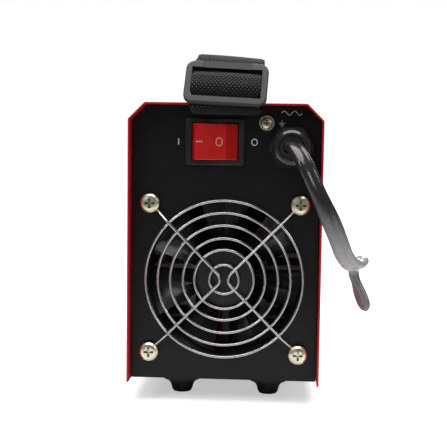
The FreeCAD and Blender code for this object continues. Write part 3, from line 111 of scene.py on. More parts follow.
class Shader:
    """A principled material with small helpers for its node tree."""

    def __init__(self, name):
        self.material = bpy.data.materials.new(name)
        self.material.use_nodes = True
        self.tree = self.material.node_tree
        self.surface = self.tree.nodes["Principled BSDF"]
        self.place = self.node("ShaderNodeTexCoord").outputs["Object"]

    def node(self, kind, **settings):
        """Add a node; settings are its properties or its input values."""
        made = self.tree.nodes.new(kind)
        for key, value in settings.items():
            if hasattr(made, key) and not isinstance(value, bpy.types.NodeSocket):
                setattr(made, key, value)
            else:
                self.feed(made.inputs[key], value)
        return made

    def feed(self, socket, value):
        """Link an output to a socket, or set the socket's own value."""
        if isinstance(value, bpy.types.NodeSocket):
            self.tree.links.new(value, socket)
        else:
            socket.default_value = value

    def set(self, **values):
        """Set principled inputs; underscores stand for spaces."""
        for key, value in values.items():
            self.feed(self.surface.inputs[key.replace("_", " ")], value)

    def noise(self, size, detail=2.0, place=None):
        """Noise whose features are about size metres across."""
        made = self.node("ShaderNodeTexNoise", Vector=place or self.place)
        made.inputs["Scale"].default_value = 1.0 / size
        made.inputs["Detail"].default_value = detail
        return made.outputs["Fac"]

    def hollows(self, reach, inside=False):
        """1 on open surface, falling to 0 in hollows, or at sharp edges when inside is set."""
        made = self.node("ShaderNodeAmbientOcclusion", samples=6, inside=inside)
        made.inputs["Distance"].default_value = reach
        return made.outputs["AO"]

    def along(self, origin, direction):
        """Distance in metres from a point, measured along a direction."""
        offset = self.node("ShaderNodeVectorMath", operation="SUBTRACT")
        self.feed(offset.inputs[0], self.place)
        offset.inputs[1].default_value = origin
        dot = self.node("ShaderNodeVectorMath", operation="DOT_PRODUCT")
        self.feed(dot.inputs[0], offset.outputs[0])
        dot.inputs[1].default_value = direction
        return dot.outputs["Value"]

    def step(self, value, start, end):
        """Smooth step from 0 at start to 1 at end."""
        made = self.node("ShaderNodeMapRange", interpolation_type="SMOOTHSTEP", Value=value)
        made.inputs["From Min"].default_value = start
        made.inputs["From Max"].default_value = end
        return made.outputs[0]

    def math(self, operation, first, second=0.0):
        """One arithmetic node."""
        made = self.node("ShaderNodeMath", operation=operation)
        self.feed(made.inputs[0], first)
        self.feed(made.inputs[1], second)
        return made.outputs[0]

    def spread(self, fac, low, high):
        """Map a 0-1 value onto low..high."""
        made = self.node("ShaderNodeMapRange", Value=fac)
        made.inputs["To Min"].default_value = low
        made.inputs["To Max"].default_value = high
        return made.outputs[0]

    def blend(self, fac, first, second):
        """Mix two colours."""
        made = self.node("ShaderNodeMix", data_type="RGBA")
        self.feed(made.inputs["Factor"], fac)
        for socket, colour in zip((made.inputs[6], made.inputs[7]), (first, second)):
            self.feed(socket, colour)
        return made.outputs[2]

    def ramp(self, fac, stops):
        """Colour ramp with (position, grey) stops."""
        made = self.node("ShaderNodeValToRGB", Fac=fac)
        elements = made.color_ramp.elements
        while len(elements) < len(stops):
            elements.new(0.5)
        for element, (position, grey) in zip(elements, stops):
            element.position = position
            element.color = (grey, grey, grey, 1)
        return made.outputs["Color"]

    def bump(self, height, depth, onto=None):
        """Raise the surface by height times depth metres."""
        made = self.node("ShaderNodeBump", Height=height)
        made.inputs["Strength"].default_value = 1.0
        made.inputs["Distance"].default_value = depth
        if onto is not None:
            self.feed(made.inputs["Normal"], onto)
        return made.outputs["Normal"]


def rgb(red, green, blue):
    """An opaque linear colour."""
    return (red, green, blue, 1.0)


def shade(colour, factor):
    """A colour made darker or lighter."""
    return tuple(channel * factor for channel in colour[:3]) + (1.0,)


def powder_coat(name, colour, roughness, peel, grain, specular=0.5):
    """Baked powder paint: orange peel, fine grain and faint handling marks."""
    s = Shader(name)
    clouds = s.noise(0.045, 4.0)
    marks = s.noise(0.006, 6.0)
    paint = s.blend(clouds, shade(colour, 0.86), shade(colour, 1.14))
    edges = s.math("SUBTRACT", 1.0, s.hollows(0.0005, inside=True))
    worn = s.math("MULTIPLY", s.step(edges, 0.25, 0.6), s.step(marks, 0.5, 0.75))
    s.set(Base_Color=s.blend(worn, paint, shade(colour, 2.2)))
    s.set(Roughness=s.spread(marks, roughness - 0.06, roughness + 0.08))
    s.set(Specular_IOR_Level=specular)
    peeled = s.bump(s.noise(0.0016, 1.5), peel)
    s.set(Normal=s.bump(s.noise(0.00035, 2.0), grain, peeled))
    return s.material


def plated(name, colour, roughness, tint, streak=0.0004):
    """Plated steel: metallic, slightly blotchy, with fine tool marks and painted shade in its
    hollows.
    """
    s = Shader(name)
    blotch = s.noise(0.003, 3.0)
    clean = s.blend(blotch, colour, tint)
    # Painted shade: the colour goes almost black in hollows such as screw recesses.
    hollow_shade = s.step(s.hollows(0.0016), 0.25, 0.8)
    s.set(Base_Color=s.blend(hollow_shade, shade(tint, 0.06), clean), Metallic=1.0)
    s.set(Roughness=s.spread(s.noise(0.0012, 4.0), roughness * 0.75, roughness * 1.35))
    s.set(Normal=s.bump(s.noise(streak, 2.0), 0.000012))
    return s.material


def moulded(name, colour, roughness, grain=0.00001, coat=0.0):
    """Moulded plastic: fine spark-eroded grain and slow colour drift."""
    s = Shader(name)
    drift = s.noise(0.012, 3.0)
    s.set(Base_Color=s.blend(drift, shade(colour, 0.85), shade(colour, 1.18)))
    s.set(Roughness=s.spread(s.noise(0.0025, 5.0), roughness - 0.07, roughness + 0.07))
    s.set(Coat_Weight=coat, Coat_Roughness=0.15)
    s.set(Normal=s.bump(s.noise(0.00028, 2.0), grain))
    return s.material


def clear_red():
    """Clear red rocker plastic: deep colour, glossy skin, faint mould flow, and painted shade at both
    ends.
    """
    s = Shader("clear_red_plastic")
    low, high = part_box("power_rocker")
    share = s.along(low, (1.0 / (high.x - low.x), 0, 0))
    flow = s.math("MULTIPLY", s.noise(0.008, 3.0), 0.5)
    # Painted shade: the rocker's left end and its right face are coloured a darker red; the lit
    # middle keeps the full colour.
    lit = s.math("MULTIPLY", s.step(share, 0.02, 0.12), s.step(share, 0.78, 0.7))
    body = s.blend(flow, rgb(0.55, 0.006, 0.006), rgb(0.9, 0.03, 0.026))
    s.set(Base_Color=s.blend(lit, rgb(0.42, 0.0, 0.0), body))
    s.set(Roughness=s.spread(s.noise(0.002, 4.0), 0.16, 0.3))
    s.set(Subsurface_Weight=0.25, Subsurface_Scale=0.003, Subsurface_Radius=(1.0, 0.08, 0.05))
    s.set(Coat_Weight=0.5, Coat_Roughness=0.08)
    s.set(Normal=s.bump(s.noise(0.0009, 2.0), 0.00001))
    return s.material


def sheath():
    """Soft vinyl cable sheath: glossy, with drawing lines and dull scuffs, and painted glare paling
    its hanging part.
    """
    s = Shader("vinyl_sheath")
    scuffs = s.noise(0.004, 6.0)
    dark = s.blend(s.noise(0.02, 3.0), rgb(0.012, 0.012, 0.013), rgb(0.026, 0.026, 0.028))
    pale = s.blend(scuffs, rgb(0.34, 0.34, 0.36), rgb(0.5, 0.5, 0.52))
    # Painted glare: the sheath turns pale grey from 26 mm below the gland, less so past 70 mm down.
    hang = s.along((0, 0, GLAND.z), (0, 0, -1))
    painted_glare = s.step(hang, 0.026, 0.066)
    kept = s.math("SUBTRACT", 1.0, s.math("MULTIPLY", s.step(hang, 0.066, 0.07), 0.6))
    s.set(Base_Color=s.blend(s.math("MULTIPLY", painted_glare, kept), dark, pale))
    s.set(Roughness=s.spread(scuffs, 0.16, 0.36), Coat_Weight=0.4, Coat_Roughness=0.12)
    s.set(Normal=s.bump(s.noise(0.0011, 3.0), 0.00003))
    return s.material


def rubber():
    """Moulded rubber with a dusty bloom."""
    s = Shader("moulded_rubber")
    bloom = s.noise(0.004, 5.0)
    s.set(Base_Color=s.blend(bloom, rgb(0.007, 0.007, 0.007), rgb(0.03, 0.03, 0.031)))
    s.set(Roughness=s.spread(bloom, 0.5, 0.78))
    s.set(Normal=s.bump(s.noise(0.0005, 3.0), 0.00003))
    return s.material


def webbing_fabric():
    """Woven webbing: staggered yarn crowns along the length, drawn from the strap's UV map, with
    painted light and shade on the weave and a painted shadow below the slider.
    """
    s = Shader("woven_webbing")
    uv = s.node("ShaderNodeUVMap").outputs["UV"]
    split = s.node("ShaderNodeSeparateXYZ", Vector=uv)
    across = s.math("MULTIPLY", split.outputs["X"], math.pi / YARN)
    along = s.math("MULTIPLY", split.outputs["Y"], math.pi / YARN)
    crossing = s.math("MULTIPLY", s.math("COSINE", across), s.math("COSINE", along))
    crowns = s.math("MAXIMUM", crossing, 0.0)
    fuzz = s.math("MULTIPLY", s.noise(0.0003, 3.0), 0.4)
    # Painted light and shade: yarn crowns are coloured lit, the gaps between yarns near black.
    lit = s.step(s.math("ADD", crowns, fuzz), 0.5, 1.1)
    bright = s.blend(s.noise(0.005, 3.0), rgb(0.06, 0.06, 0.058), rgb(0.17, 0.17, 0.165))
    # Painted shadow: the webbing more than 15 mm below the slider's middle is darkened towards near
    # black.
    shaded = s.step(s.along(SLIDER, UP_STRAP), -10 * MM, -15 * MM)
    yarn = s.blend(lit, rgb(0.004, 0.004, 0.004), bright)
    s.set(Base_Color=s.blend(s.math("MULTIPLY", shaded, 0.8), yarn, rgb(0.003, 0.003, 0.003)))
    s.set(Roughness=0.8, Sheen_Weight=0.1, Sheen_Roughness=0.5, Specular_IOR_Level=0.3)
    weave = s.bump(s.math("ABSOLUTE", crossing), 0.0003)
    s.set(Normal=s.bump(s.noise(0.00015, 2.0), 0.00004, weave))
    return s.material


def slider_acetal():
    """Grey acetal slider with painted shade in the moulded recess of its top bar."""
    s = Shader("slider_acetal")
    top = s.along(SLIDER, ROLLED_UP)
    side = s.math("ABSOLUTE", s.along(SLIDER, ROLLED_SIDE))
    # Painted shade: the recess in the top bar is coloured darker than the rest of the slider.
    recess = s.math("MULTIPLY", s.step(top, 8.6 * MM, 8.8 * MM), s.step(side, 13.3 * MM, 12.9 * MM))
    grey = s.blend(s.noise(0.006, 4.0), rgb(0.028, 0.029, 0.03), rgb(0.05, 0.051, 0.054))
    s.set(Base_Color=s.blend(recess, grey, rgb(0.018, 0.018, 0.019)))
    s.set(Roughness=s.spread(s.noise(0.002, 5.0), 0.34, 0.5))
    s.set(Normal=s.bump(s.noise(0.0003, 2.0), 0.000014))
    return s.material


def board_material():
    """Green circuit board with copper tracks showing through the mask."""
    s = Shader("circuit_board")
    cells = s.node("ShaderNodeTexVoronoi", Vector=s.place, feature="DISTANCE_TO_EDGE")
    cells.inputs["Scale"].default_value = 160.0
    tracks = s.ramp(cells.outputs["Distance"], ((0.06, 1.0), (0.1, 0.0)))
    s.set(Base_Color=s.blend(tracks, rgb(0.005, 0.07, 0.022), rgb(0.03, 0.16, 0.06)))
    s.set(Roughness=0.35, Normal=s.bump(s.noise(0.001, 2.0), 0.00002))
    return s.material


def winding_material():
    """Enamelled copper wound in fine turns."""
    s = Shader("enamelled_winding")
    wave = s.node("ShaderNodeTexWave", Vector=s.place, bands_direction="Z")
    wave.inputs["Scale"].default_value = 260.0
    wave.inputs["Distortion"].default_value = 0.6
    turns = wave.outputs["Fac"]
    s.set(Base_Color=s.blend(turns, rgb(0.16, 0.05, 0.02), rgb(0.6, 0.26, 0.1)))
    s.set(Metallic=0.7, Roughness=0.35, Normal=s.bump(turns, 0.00015))
    return s.material


def ink(name, colour):
    """Screen-printed ink, slightly uneven."""
    s = Shader(name)
    s.set(Base_Color=s.blend(s.noise(0.0008, 4.0), shade(colour, 0.78), colour))
    s.set(Roughness=0.5, Normal=s.bump(s.noise(0.0003, 2.0), 0.000008))
    return s.material


def lens(name, colour):
    """Tinted lamp lens."""
    s = Shader(name)
    s.set(Base_Color=s.blend(s.noise(0.002, 2.0), shade(colour, 0.8), colour))
    s.set(Roughness=s.spread(s.noise(0.001, 2.0), 0.1, 0.2), Transmission_Weight=0.35)
    s.set(Coat_Weight=0.6)
    return s.material


MATERIALS = {
    "red_paint": powder_coat("red_powder_coat", rgb(0.5, 0.006, 0.014), 0.34, 0.00003, 0.000006),
    "black_paint": powder_coat("black_powder_coat", rgb(0.0026, 0.0026, 0.0025), 0.42,
                               0.00002, 0.00002, 0.35),
    "bright_wire": plated("bright_nickel", rgb(0.66, 0.65, 0.63), 0.24, rgb(0.5, 0.49, 0.48)),
    "zinc": plated("yellow_zinc", rgb(0.95, 0.91, 0.76), 0.3, rgb(0.86, 0.8, 0.56)),
    "plain_steel": plated("plain_zinc", rgb(0.62, 0.63, 0.65), 0.32, rgb(0.48, 0.49, 0.5)),
    "brass_metal": plated("turned_brass", rgb(0.83, 0.62, 0.28), 0.28, rgb(0.7, 0.5, 0.2)),
    "copper_metal": plated("bare_copper", rgb(0.8, 0.42, 0.25), 0.35, rgb(0.6, 0.27, 0.15)),
    # Painted shade: the aluminium gets a dark grey well below its bare colour, so the parts inside
    # the case read dark.
    "raw_aluminium": plated("extruded_aluminium", rgb(0.3, 0.305, 0.31), 0.5,
                            rgb(0.66, 0.67, 0.68)),
    "fan_plastic": moulded("fan_frame_plastic", rgb(0.008, 0.008, 0.009), 0.45),
    "blade_plastic": moulded("fan_blade_plastic", rgb(0.007, 0.007, 0.008), 0.24, 0.000004, 0.3),
    "switch_plastic": moulded("switch_plastic", rgb(0.016, 0.016, 0.017), 0.42),
    "gland_nylon": moulded("gland_nylon", rgb(0.016, 0.016, 0.017), 0.18, 0.000006, 0.5),
    "slider_plastic": slider_acetal(),
    "knob_plastic": moulded("knob_plastic", rgb(0.01, 0.01, 0.011), 0.35),
    "socket_plastic": moulded("socket_plastic", rgb(0.012, 0.012, 0.013), 0.4),
    "package_black": moulded("moulded_epoxy", rgb(0.012, 0.012, 0.013), 0.55),
    "ferrite": moulded("sintered_ferrite", rgb(0.03, 0.03, 0.032), 0.6, 0.00003),
    "can_sleeve": moulded("capacitor_sleeve", rgb(0.01, 0.02, 0.08), 0.3, 0.000006, 0.3),
    "lead_pvc": moulded("red_insulation", rgb(0.35, 0.012, 0.012), 0.35),
    "earth_pvc": moulded("earth_insulation", rgb(0.2, 0.36, 0.03), 0.35),
    "rocker_red": clear_red(),
    "cable_pvc": sheath(),
    "foot_rubber": rubber(),
    "webbing": webbing_fabric(),
    "board_green": board_material(),
    "lamp_green": lens("green_lens", rgb(0.05, 0.5, 0.1)),
    "lamp_yellow": lens("yellow_lens", rgb(0.85, 0.5, 0.03)),
}
WHITE_INK = ink("white_print", rgb(0.72, 0.72, 0.7))
PINK_INK = ink("rocker_mark", rgb(0.82, 0.42, 0.38))


def dress_cad_nodes():
    """Give every CAD node the finish of its record slot."""
    finishes = {row["node"]: row["material_slot"] for row in frame["record"]["subparts"]}
    for name, node in frame["nodes"].items():
        material = MATERIALS[finishes[name]]
        if finishes[name] == "copper_metal" and name in ("transformer_winding", "fan_stator"):
            material = winding_material()
        node.data.materials.clear()
        node.data.materials.append(material)


# ---------------------------------------------------------------- mesh helpers

def mesh_object(name, points, faces, material, smooth=True):
    """A new mesh object from points and faces."""
    mesh = bpy.data.meshes.new(name)
    mesh.from_pydata([tuple(point) for point in points], [], faces)
    mesh.update()
    made = bpy.data.objects.new(name, mesh)
    bpy.context.collection.objects.link(made)
    mesh.materials.append(material)
    for polygon in mesh.polygons:
        polygon.use_smooth = smooth
    return made


def smooth_path(points, steps):
    """Catmull-Rom samples through the points, steps to each span."""
    padded = [points[0] * 2 - points[1]] + list(points) + [points[-1] * 2 - points[-2]]
    samples = []
    for index in range(1, len(padded) - 2):
        before, start, end, after = padded[index - 1:index + 3]
        for step in range(steps):
            t = step / steps
            samples.append(0.5 * (2 * start + (end - before) * t
                                  + (2 * before - 5 * start + 4 * end - after) * t ** 2
                                  + (3 * start - before - 3 * end + after) * t ** 3))
    samples.append(points[-1].copy())
    return samples


def tangents(path):
    """Unit directions along a sampled path."""
    last = len(path) - 1
    return [(path[min(i + 1, last)] - path[max(i - 1, 0)]).normalized() for i in range(last + 1)]


def lengths(path):
    """Distance travelled at each sample."""
    total = [0.0]
    for here, ahead in zip(path, path[1:]):
        total.append(total[-1] + (ahead - here).length)
    return total


def ease(value):
    """Smooth step from 0 to 1."""
    value = min(max(value, 0.0), 1.0)
    return value * value * (3 - 2 * value)


# ---------------------------------------------------------------- carrying strap

STRAP_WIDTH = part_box("carry_strap")[1].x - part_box("carry_strap")[0].x


def by_slider(along, outward):
    """A place beside the slider's centre line, in millimetres along and out of the strap."""
    return SLIDER + UP_STRAP * along * MM + OUT_STRAP * outward * MM


def at_edge(y, below, side=-1):
    """A place near a cover edge: y millimetres from the middle, below the cover's top."""
    return Vector((CASE.x, CASE.y + side * y * MM, TOP - below * MM))


def strap_path():
    """Stations along the webbing: centre, share of the slider's roll, sideways shift, spare width."""
    crest = -CREST
    rear = [(at_edge(y, below), rolled, 0, 0) for y, below, rolled in (
        (87, 2.1, 0), (98, 2.1, 0), (106, 2.2, 0), (110, 2.7, 0), (113.2, 4.3, 0),
        (115.6, 5.4, 0.1), (117.3, 5.1, 0.4))]
    weave = [(by_slider(along, outward), 1.0, along * math.tan(ROLL), 0.45) for along, outward in (
        (-13.4, -2.75), (-10.5, -2.8), (-8.0, -2.75), (-5.5, -0.1), (-3.0, 2.25), (0.0, 2.6),
        (3.0, 2.25), (5.5, -0.1))]
    behind = [(by_slider(along, outward), 1.0, along * math.tan(ROLL) - 0.4, 0.8)
              for along, outward in ((8.0, -2.75), (10.5, -2.8), (13.4, -2.75))]
    arch = [(at_edge(-y, below), rolled, shift, 0) for y, below, rolled, shift in (
        (-102.6, crest + 2.5, 1.4, 1.6), (-97, crest + 0.5, 1.6, 1.8), (-88, crest, 1.6, 1.8),
        (-60, crest, 1.4, 1.5), (-20, crest, 1.0, 1.0), (20, crest, 0.6, 0.6),
        (60, crest, 0.4, 0.3), (88, crest + 0.8, 0.2, 0.1), (101, crest + 3.6, 0.1, 0),
        (110, -11, 0, 0), (116.4, -1, 0, 0))]
    front = [(at_edge(y, below, 1), 0, 0, 0) for y, below in (
        (117.3, 3.4), (115.6, 5.4), (113.2, 4.3), (110, 2.7), (106, 2.2), (98, 2.1), (87, 2.1))]
    return rear + weave + behind + arch + front


def tube_sides(rows, width):
    """Quads that join each ring of width points to the next."""
    faces = []
    for row in range(rows - 1):
        for column in range(width):
            beside = (column + 1) % width
            faces.append((row * width + column, row * width + beside,
                          (row + 1) * width + beside, (row + 1) * width + column))
    return faces


def webbing_rim(half, columns=24):
    """Cross-section of the webbing as (x, side) pairs, thinner at its selvedges."""
    rim = []
    for column in range(columns + 1):
        x = -half + 2 * half * column / columns
        edge = min(half - abs(x), WEBBING_HALF) / WEBBING_HALF
        rim.append((x, 0.35 + 0.65 * math.sqrt(edge)))
    return rim + [(x, -full) for x, full in reversed(rim)]


def webbing_piece(name, rows):
    """A length of webbing through rows of points, each with its travelled distance."""
    width = len(rows[0][0])
    points = [point for row in rows for point in row[0]]
    faces = tube_sides(len(rows), width)
    faces.append(tuple(range(width))[::-1])
    faces.append(tuple(range((len(rows) - 1) * width, len(rows) * width)))
    piece = mesh_object(name, points, faces, MATERIALS["webbing"])
    layer = piece.data.uv_layers.new(name="weave")
    step = STRAP_WIDTH / (width / 2 - 1)
    for corner in piece.data.loops:
        row, column = divmod(corner.vertex_index, width)
        layer.data[corner.index].uv = (min(column, width - 1 - column) * step, rows[row][1])
    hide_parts("carry_strap")
    return piece


def make_strap():
    """Webbing ribbon, woven through the slider and rolled with it, split behind its top bar."""
    steps = 12
    stations = strap_path()
    places = [station[0] + Vector((station[2] * MM, 0, 0)) for station in stations]
    centre = smooth_path(places, steps)
    shape = smooth_path([Vector((station[1], station[3], 0)) for station in stations], steps)
    travelled = lengths(centre)
    heading = tangents(centre)
    rows = []
    for index, place in enumerate(centre):
        rolled, spare = shape[index].xy
        half = STRAP_WIDTH / 2 + spare * MM
        normal = Vector((0, -heading[index].z, heading[index].y))
        row = []
        for x, side in webbing_rim(half):
            crown = CROWN * math.cos(x / half * math.pi / 2) * ease(rolled)
            rise = -x * math.tan(ROLL) * rolled
            row.append(place + Vector((x, 0, 0)) + normal * (side * WEBBING_HALF + crown)
                       + UP_STRAP * rise)
        rows.append((row, travelled[index]))
    split = SPLIT_STATION * steps
    rear = webbing_piece("webbing_strap_rear", rows[:split + 1])
    arch = webbing_piece("webbing_strap_arch", rows[split:])
    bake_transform(rear)
    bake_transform(arch)


# ---------------------------------------------------------------- mains cable

def cable_path():
    """Centre line of the lead, from inside the gland to its free end."""
    gland = Vector((GLAND.x, CASE.y, GLAND.z))

    def spot(right, y, down):
        return gland + Vector((right * MM, y * MM, -down * MM))

    return [spot(0, -94, 0), spot(0, -106, 0), spot(0, -116, 0), spot(0.3, -124, -0.5),
            spot(2.4, -133, 0.9), spot(6.6, -140.5, 8.0), spot(11.6, -142, 18.6),
            spot(17.0, -140, 30.0), spot(21.8, -136, 40.0), spot(25.4, -132, 48.5),
            spot(28.6, -127, 56.0), spot(32.4, -122, 61.0), spot(36.2, -117, 62.6),
            spot(38.2, -112.5, 61.4), spot(36.4, -109.5, 62.2), spot(35.2, -108.6, 66.5),
            spot(36.8, -109.0, 73.0), spot(39.6, -110.0, 80.5), spot(42.6, -111.0, 88.0)]


def sheath_section(half_width, half_depth, steps):
    """Flat-oval outline with a shallow groove off the middle of both broad sides."""
    outline = []
    for step in range(steps):
        angle = 2 * math.pi * step / steps
        across = half_width * math.copysign(abs(math.cos(angle)) ** 0.78, math.cos(angle))
        depth = half_depth * math.copysign(abs(math.sin(angle)) ** 0.78, math.sin(angle))
        groove = math.exp(-((across - half_width * 0.24) / (half_width * 0.2)) ** 2)
        outline.append((across, depth * (1 - 0.22 * groove)))
    return outline


def make_cable():
    """Flat lead: grooved sheath that twists on its way down and curls over at its end."""
    path = smooth_path(cable_path(), 10)
    travelled = lengths(path)
    heading = tangents(path)
    outline = sheath_section(SHEATH_HALF_WIDTH, SHEATH_HALF_DEPTH, 56)
    across = RIGHT
    points = []
    for index, place in enumerate(path):
        tangent = heading[index]
        across = (across - tangent * across.dot(tangent)).normalized()
        share = travelled[index] / travelled[-1]
        twist = sum(turn * ease((share - start) / span) for turn, start, span in CABLE_TWISTS)
        turned = Quaternion(tangent, math.radians(twist)) @ across
        depth = tangent.cross(turned)
        left = (travelled[-1] - travelled[index]) / CABLE_TIP
        taper = math.sqrt(1 - (1 - min(left, 1.0)) ** 2) * 0.9 + 0.1
        for x, y in outline:
            points.append(place + turned * x * taper + depth * y * taper)
    width = len(outline)
    faces = tube_sides(len(path), width)
    faces.append(tuple(range(width)))
    faces.append(tuple(range((len(path) - 1) * width, len(path) * width))[::-1])
    cable = mesh_object("mains_lead", points, faces, MATERIALS["cable_pvc"])
    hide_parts("mains_cable")
    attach(cable, "case")


# ---------------------------------------------------------------- printed marks

def printed_line(name, centreline, width, plane, material=WHITE_INK, body="case"):
    """A thin printed line in the plane of a panel; plane gives origin, right, up and out."""
    origin, right, up, out = plane
    points = []
    faces = []
    count = len(centreline)
    closed = (Vector(centreline[0]) - Vector(centreline[-1])).length < 1e-9
    for index, here in enumerate(centreline):
        before = centreline[index - 1] if index else (centreline[-2] if closed else here)
        ahead = centreline[index + 1] if index < count - 1 else (centreline[1] if closed else here)
        run = Vector((ahead[0] - before[0], ahead[1] - before[1])).normalized()
        for side in (-1, 1):
            x = here[0] - run.y * side * width / 2
            z = here[1] + run.x * side * width / 2
            for lift in (0.0, PRINT_THICKNESS):
                points.append(origin + (right * x + up * z + out * lift) * MM)
    for index in range(count - 1):
        a, b = index * 4, index * 4 + 4
        faces += [(a + 1, a + 3, b + 3, b + 1), (a, b, b + 2, a + 2),
                  (a, a + 1, b + 1, b), (a + 2, b + 2, b + 3, a + 3)]
    mark = mesh_object(name, points, faces, material, smooth=False)
    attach(mark, body)


def loop_line(width, height, steps=32):
    """Centre line of an oval."""
    angles = [2 * math.pi * step / steps for step in range(steps + 1)]
    return [(width / 2 * math.cos(angle), height / 2 * math.sin(angle)) for angle in angles]


REAR_PLANE = (RIGHT, UP, Vector((0, -1, 0)))
FRONT_PLANE = (Vector((-1, 0, 0)), UP, Vector((0, 1, 0)))


def rear_plane(x, z):
    """Plane of the rear panel about a point given in metres."""
    return (Vector((x, REAR_FACE - PANEL_GAP, z)),) + REAR_PLANE


def front_plane(x, z):
    """Plane of the front panel about a point given in metres."""
    return (Vector((x, FRONT_FACE + PANEL_GAP, z)),) + FRONT_PLANE


def make_rear_marks():
    """Generic symbols by the switch, the cable entry and the earth screw."""
    left = SWITCH.x - 20 * MM
    right = SWITCH.x + 21.5 * MM
    printed_line("mark_on", [(0, -1.7), (0, 1.7)], 0.6, rear_plane(left, SWITCH.z))
    printed_line("mark_off", loop_line(3.0, 3.4), 0.55, rear_plane(right, SWITCH.z))
    wave = [(t * 0.35 - 5.6, 1.1 * math.sin(t * 0.39)) for t in range(33)]
    printed_line("mark_mains", wave, 0.55, rear_plane(GLAND.x, EARTH.z + 5.6 * MM))
    earth = rear_plane(EARTH.x + 8.3 * MM, EARTH.z)
    printed_line("mark_earth_stem", [(0, 1.6), (0, 0)], 0.45, earth)
    for index, half in enumerate((1.7, 1.1, 0.5)):
        bar = [(-half, -index * 0.8), (half, -index * 0.8)]
        printed_line("mark_earth_bar_%d" % index, bar, 0.4, earth)


def rocker_plane(x):
    """Plane of the rocker's face at x millimetres from its pivot, measured on the mesh."""
    mesh = frame["nodes"]["power_rocker"].data
    centre = SWITCH.x + x * MM
    facing = []
    for polygon in mesh.polygons:
        spans = [mesh.vertices[i].co.x for i in polygon.vertices]
        if min(spans) <= centre <= max(spans) and polygon.normal.y < -0.7:
            facing.append(polygon)
    best = max(facing, key=lambda polygon: polygon.area)
    normal = best.normal.copy()
    right = Vector((-normal.y, normal.x, 0)).normalized()
    point = best.center
    y = point.y - (centre - point.x) * normal.x / normal.y
    origin = Vector((centre, y, SWITCH.z)) + normal * ROCKER_GAP
    return origin, right, UP, normal


def make_rocker_marks():
    """The bar and ring symbols on the rocker's two faces."""
    bar = [(-2.0, 0), (2.0, 0)]
    printed_line("rocker_bar", bar, 0.6, rocker_plane(-8.2), PINK_INK, "rocker")
    printed_line("rocker_ring", loop_line(3.4, 4.2), 0.55, rocker_plane(2.3), PINK_INK, "rocker")


def make_front_marks():
    """Dial ticks round the knob and polarity signs over the sockets."""
    for tick in range(11):
        angle = math.radians(225 - tick * 27)
        inner, outer = (15.2, 17.6) if tick % 5 else (15.2, 18.8)
        line = [(inner * math.cos(angle), inner * math.sin(angle)),
                (outer * math.cos(angle), outer * math.sin(angle))]
        printed_line("dial_tick_%d" % tick, line, 0.6, front_plane(CASE.x, KNOB.z))
    height = middle("socket_contacts").z + 19.5 * MM
    for name, x in (("plus", -25), ("minus", 25)):
        plane = front_plane(CASE.x + x * MM, height)
        printed_line("sign_%s_bar" % name, [(-2, 0), (2, 0)], 0.9, plane)
        if name == "plus":
            printed_line("sign_plus_stem", [(0, -2), (0, 2)], 0.9, plane)


# ---------------------------------------------------------------- stage, light and camera

def make_stage():
    """A large pale floor."""
    s = Shader("studio_floor")
    s.set(Roughness=0.85, Specular_IOR_Level=0.2)
    distance = s.node("ShaderNodeVectorMath", operation="LENGTH")
    s.feed(distance.inputs[0], s.place)
    far = s.step(distance.outputs["Value"], 0.15, 0.5)
    s.set(Base_Color=s.blend(far, rgb(0.9, 0.9, 0.9), rgb(0.2, 0.2, 0.2)))
    glow = s.math("ADD", s.math("MULTIPLY", far, 0.6), 0.5)
    seen = s.node("ShaderNodeLightPath").outputs["Is Camera Ray"]
    s.set(Emission_Color=rgb(1, 1, 1), Emission_Strength=s.math("MULTIPLY", glow, seen))
    half = 6.0
    corners = [(-half, -half, 0), (half, -half, 0), (half, half, 0), (-half, half, 0)]
    floor = mesh_object("floor", corners, [(0, 1, 2, 3)], s.material, smooth=False)


def background(tree, strength):
    """A white background node."""
    made = tree.nodes.new("ShaderNodeBackground")
    made.inputs["Color"].default_value = rgb(1, 1, 1)
    made.inputs["Strength"].default_value = strength
    return made.outputs[0]


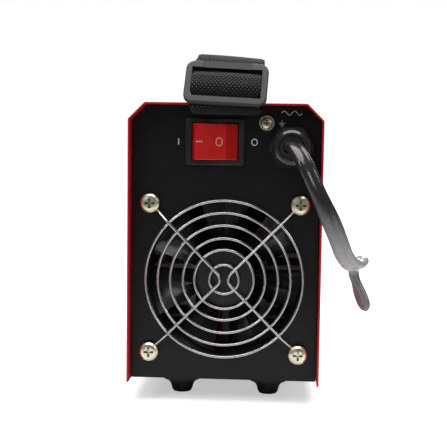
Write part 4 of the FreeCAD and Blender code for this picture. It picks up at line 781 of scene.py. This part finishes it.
def make_world():
    """White to the camera, dim to the object, so that dark surfaces stay dark."""
    world = bpy.data.worlds.new("studio")
    world.use_nodes = True
    tree = world.node_tree
    tree.nodes.clear()
    ray = tree.nodes.new("ShaderNodeLightPath")
    seen = background(tree, 1.0)
    lit = background(tree, 0.1)
    mix = tree.nodes.new("ShaderNodeMixShader")
    out = tree.nodes.new("ShaderNodeOutputWorld")
    tree.links.new(ray.outputs["Is Camera Ray"], mix.inputs["Fac"])
    tree.links.new(lit, mix.inputs[1])
    tree.links.new(seen, mix.inputs[2])
    tree.links.new(mix.outputs[0], out.inputs["Surface"])
    bpy.context.scene.world = world
    bpy.context.scene.view_settings.view_transform = "Standard"


def softbox(name, place, target, size, power):
    """A square area light aimed at a point."""
    light = bpy.data.lights.new(name, "AREA")
    light.shape = "SQUARE"
    light.size = size
    light.energy = power
    made = bpy.data.objects.new(name, light)
    made.location = place
    made.rotation_mode = "QUATERNION"
    made.rotation_quaternion = (Vector(target) - Vector(place)).to_track_quat("-Z", "Y")
    bpy.context.collection.objects.link(made)


def make_lights():
    """Large soft boxes overhead and to both sides, with a weaker one behind."""
    centre = (0, 0, 0.08)
    softbox("overhead", (0, -0.1, 1.5), centre, 1.6, 30)
    softbox("front_left", (-1.1, -1.2, 1.1), centre, 0.5, 7)
    softbox("front_right", (1.3, -1.0, 0.8), centre, 0.4, 4)
    softbox("behind", (0.3, 1.5, 0.9), centre, 1.0, 12)


def make_camera():
    """The camera, facing the fan end from above its middle and a little to its right."""
    camera = bpy.data.cameras.new("camera")
    camera.sensor_width = CAMERA_SENSOR
    camera.lens = CAMERA_LENS
    camera.clip_start = 0.01
    made = bpy.data.objects.new("camera", camera)
    level = math.cos(CAMERA_PITCH)
    forward = Vector((math.sin(CAMERA_YAW) * level, math.cos(CAMERA_YAW) * level,
                      -math.sin(CAMERA_PITCH)))
    made.location = CAMERA_PLACE
    made.rotation_mode = "QUATERNION"
    made.rotation_quaternion = forward.to_track_quat("-Z", "Y") @ Quaternion(UP, CAMERA_ROLL)
    bpy.context.collection.objects.link(made)
    bpy.context.scene.camera = made


# ---------------------------------------------------------------- build

dress_cad_nodes()
make_strap()
make_cable()
make_rear_marks()
make_rocker_marks()
make_front_marks()
make_stage()
make_world()
make_lights()
make_camera()
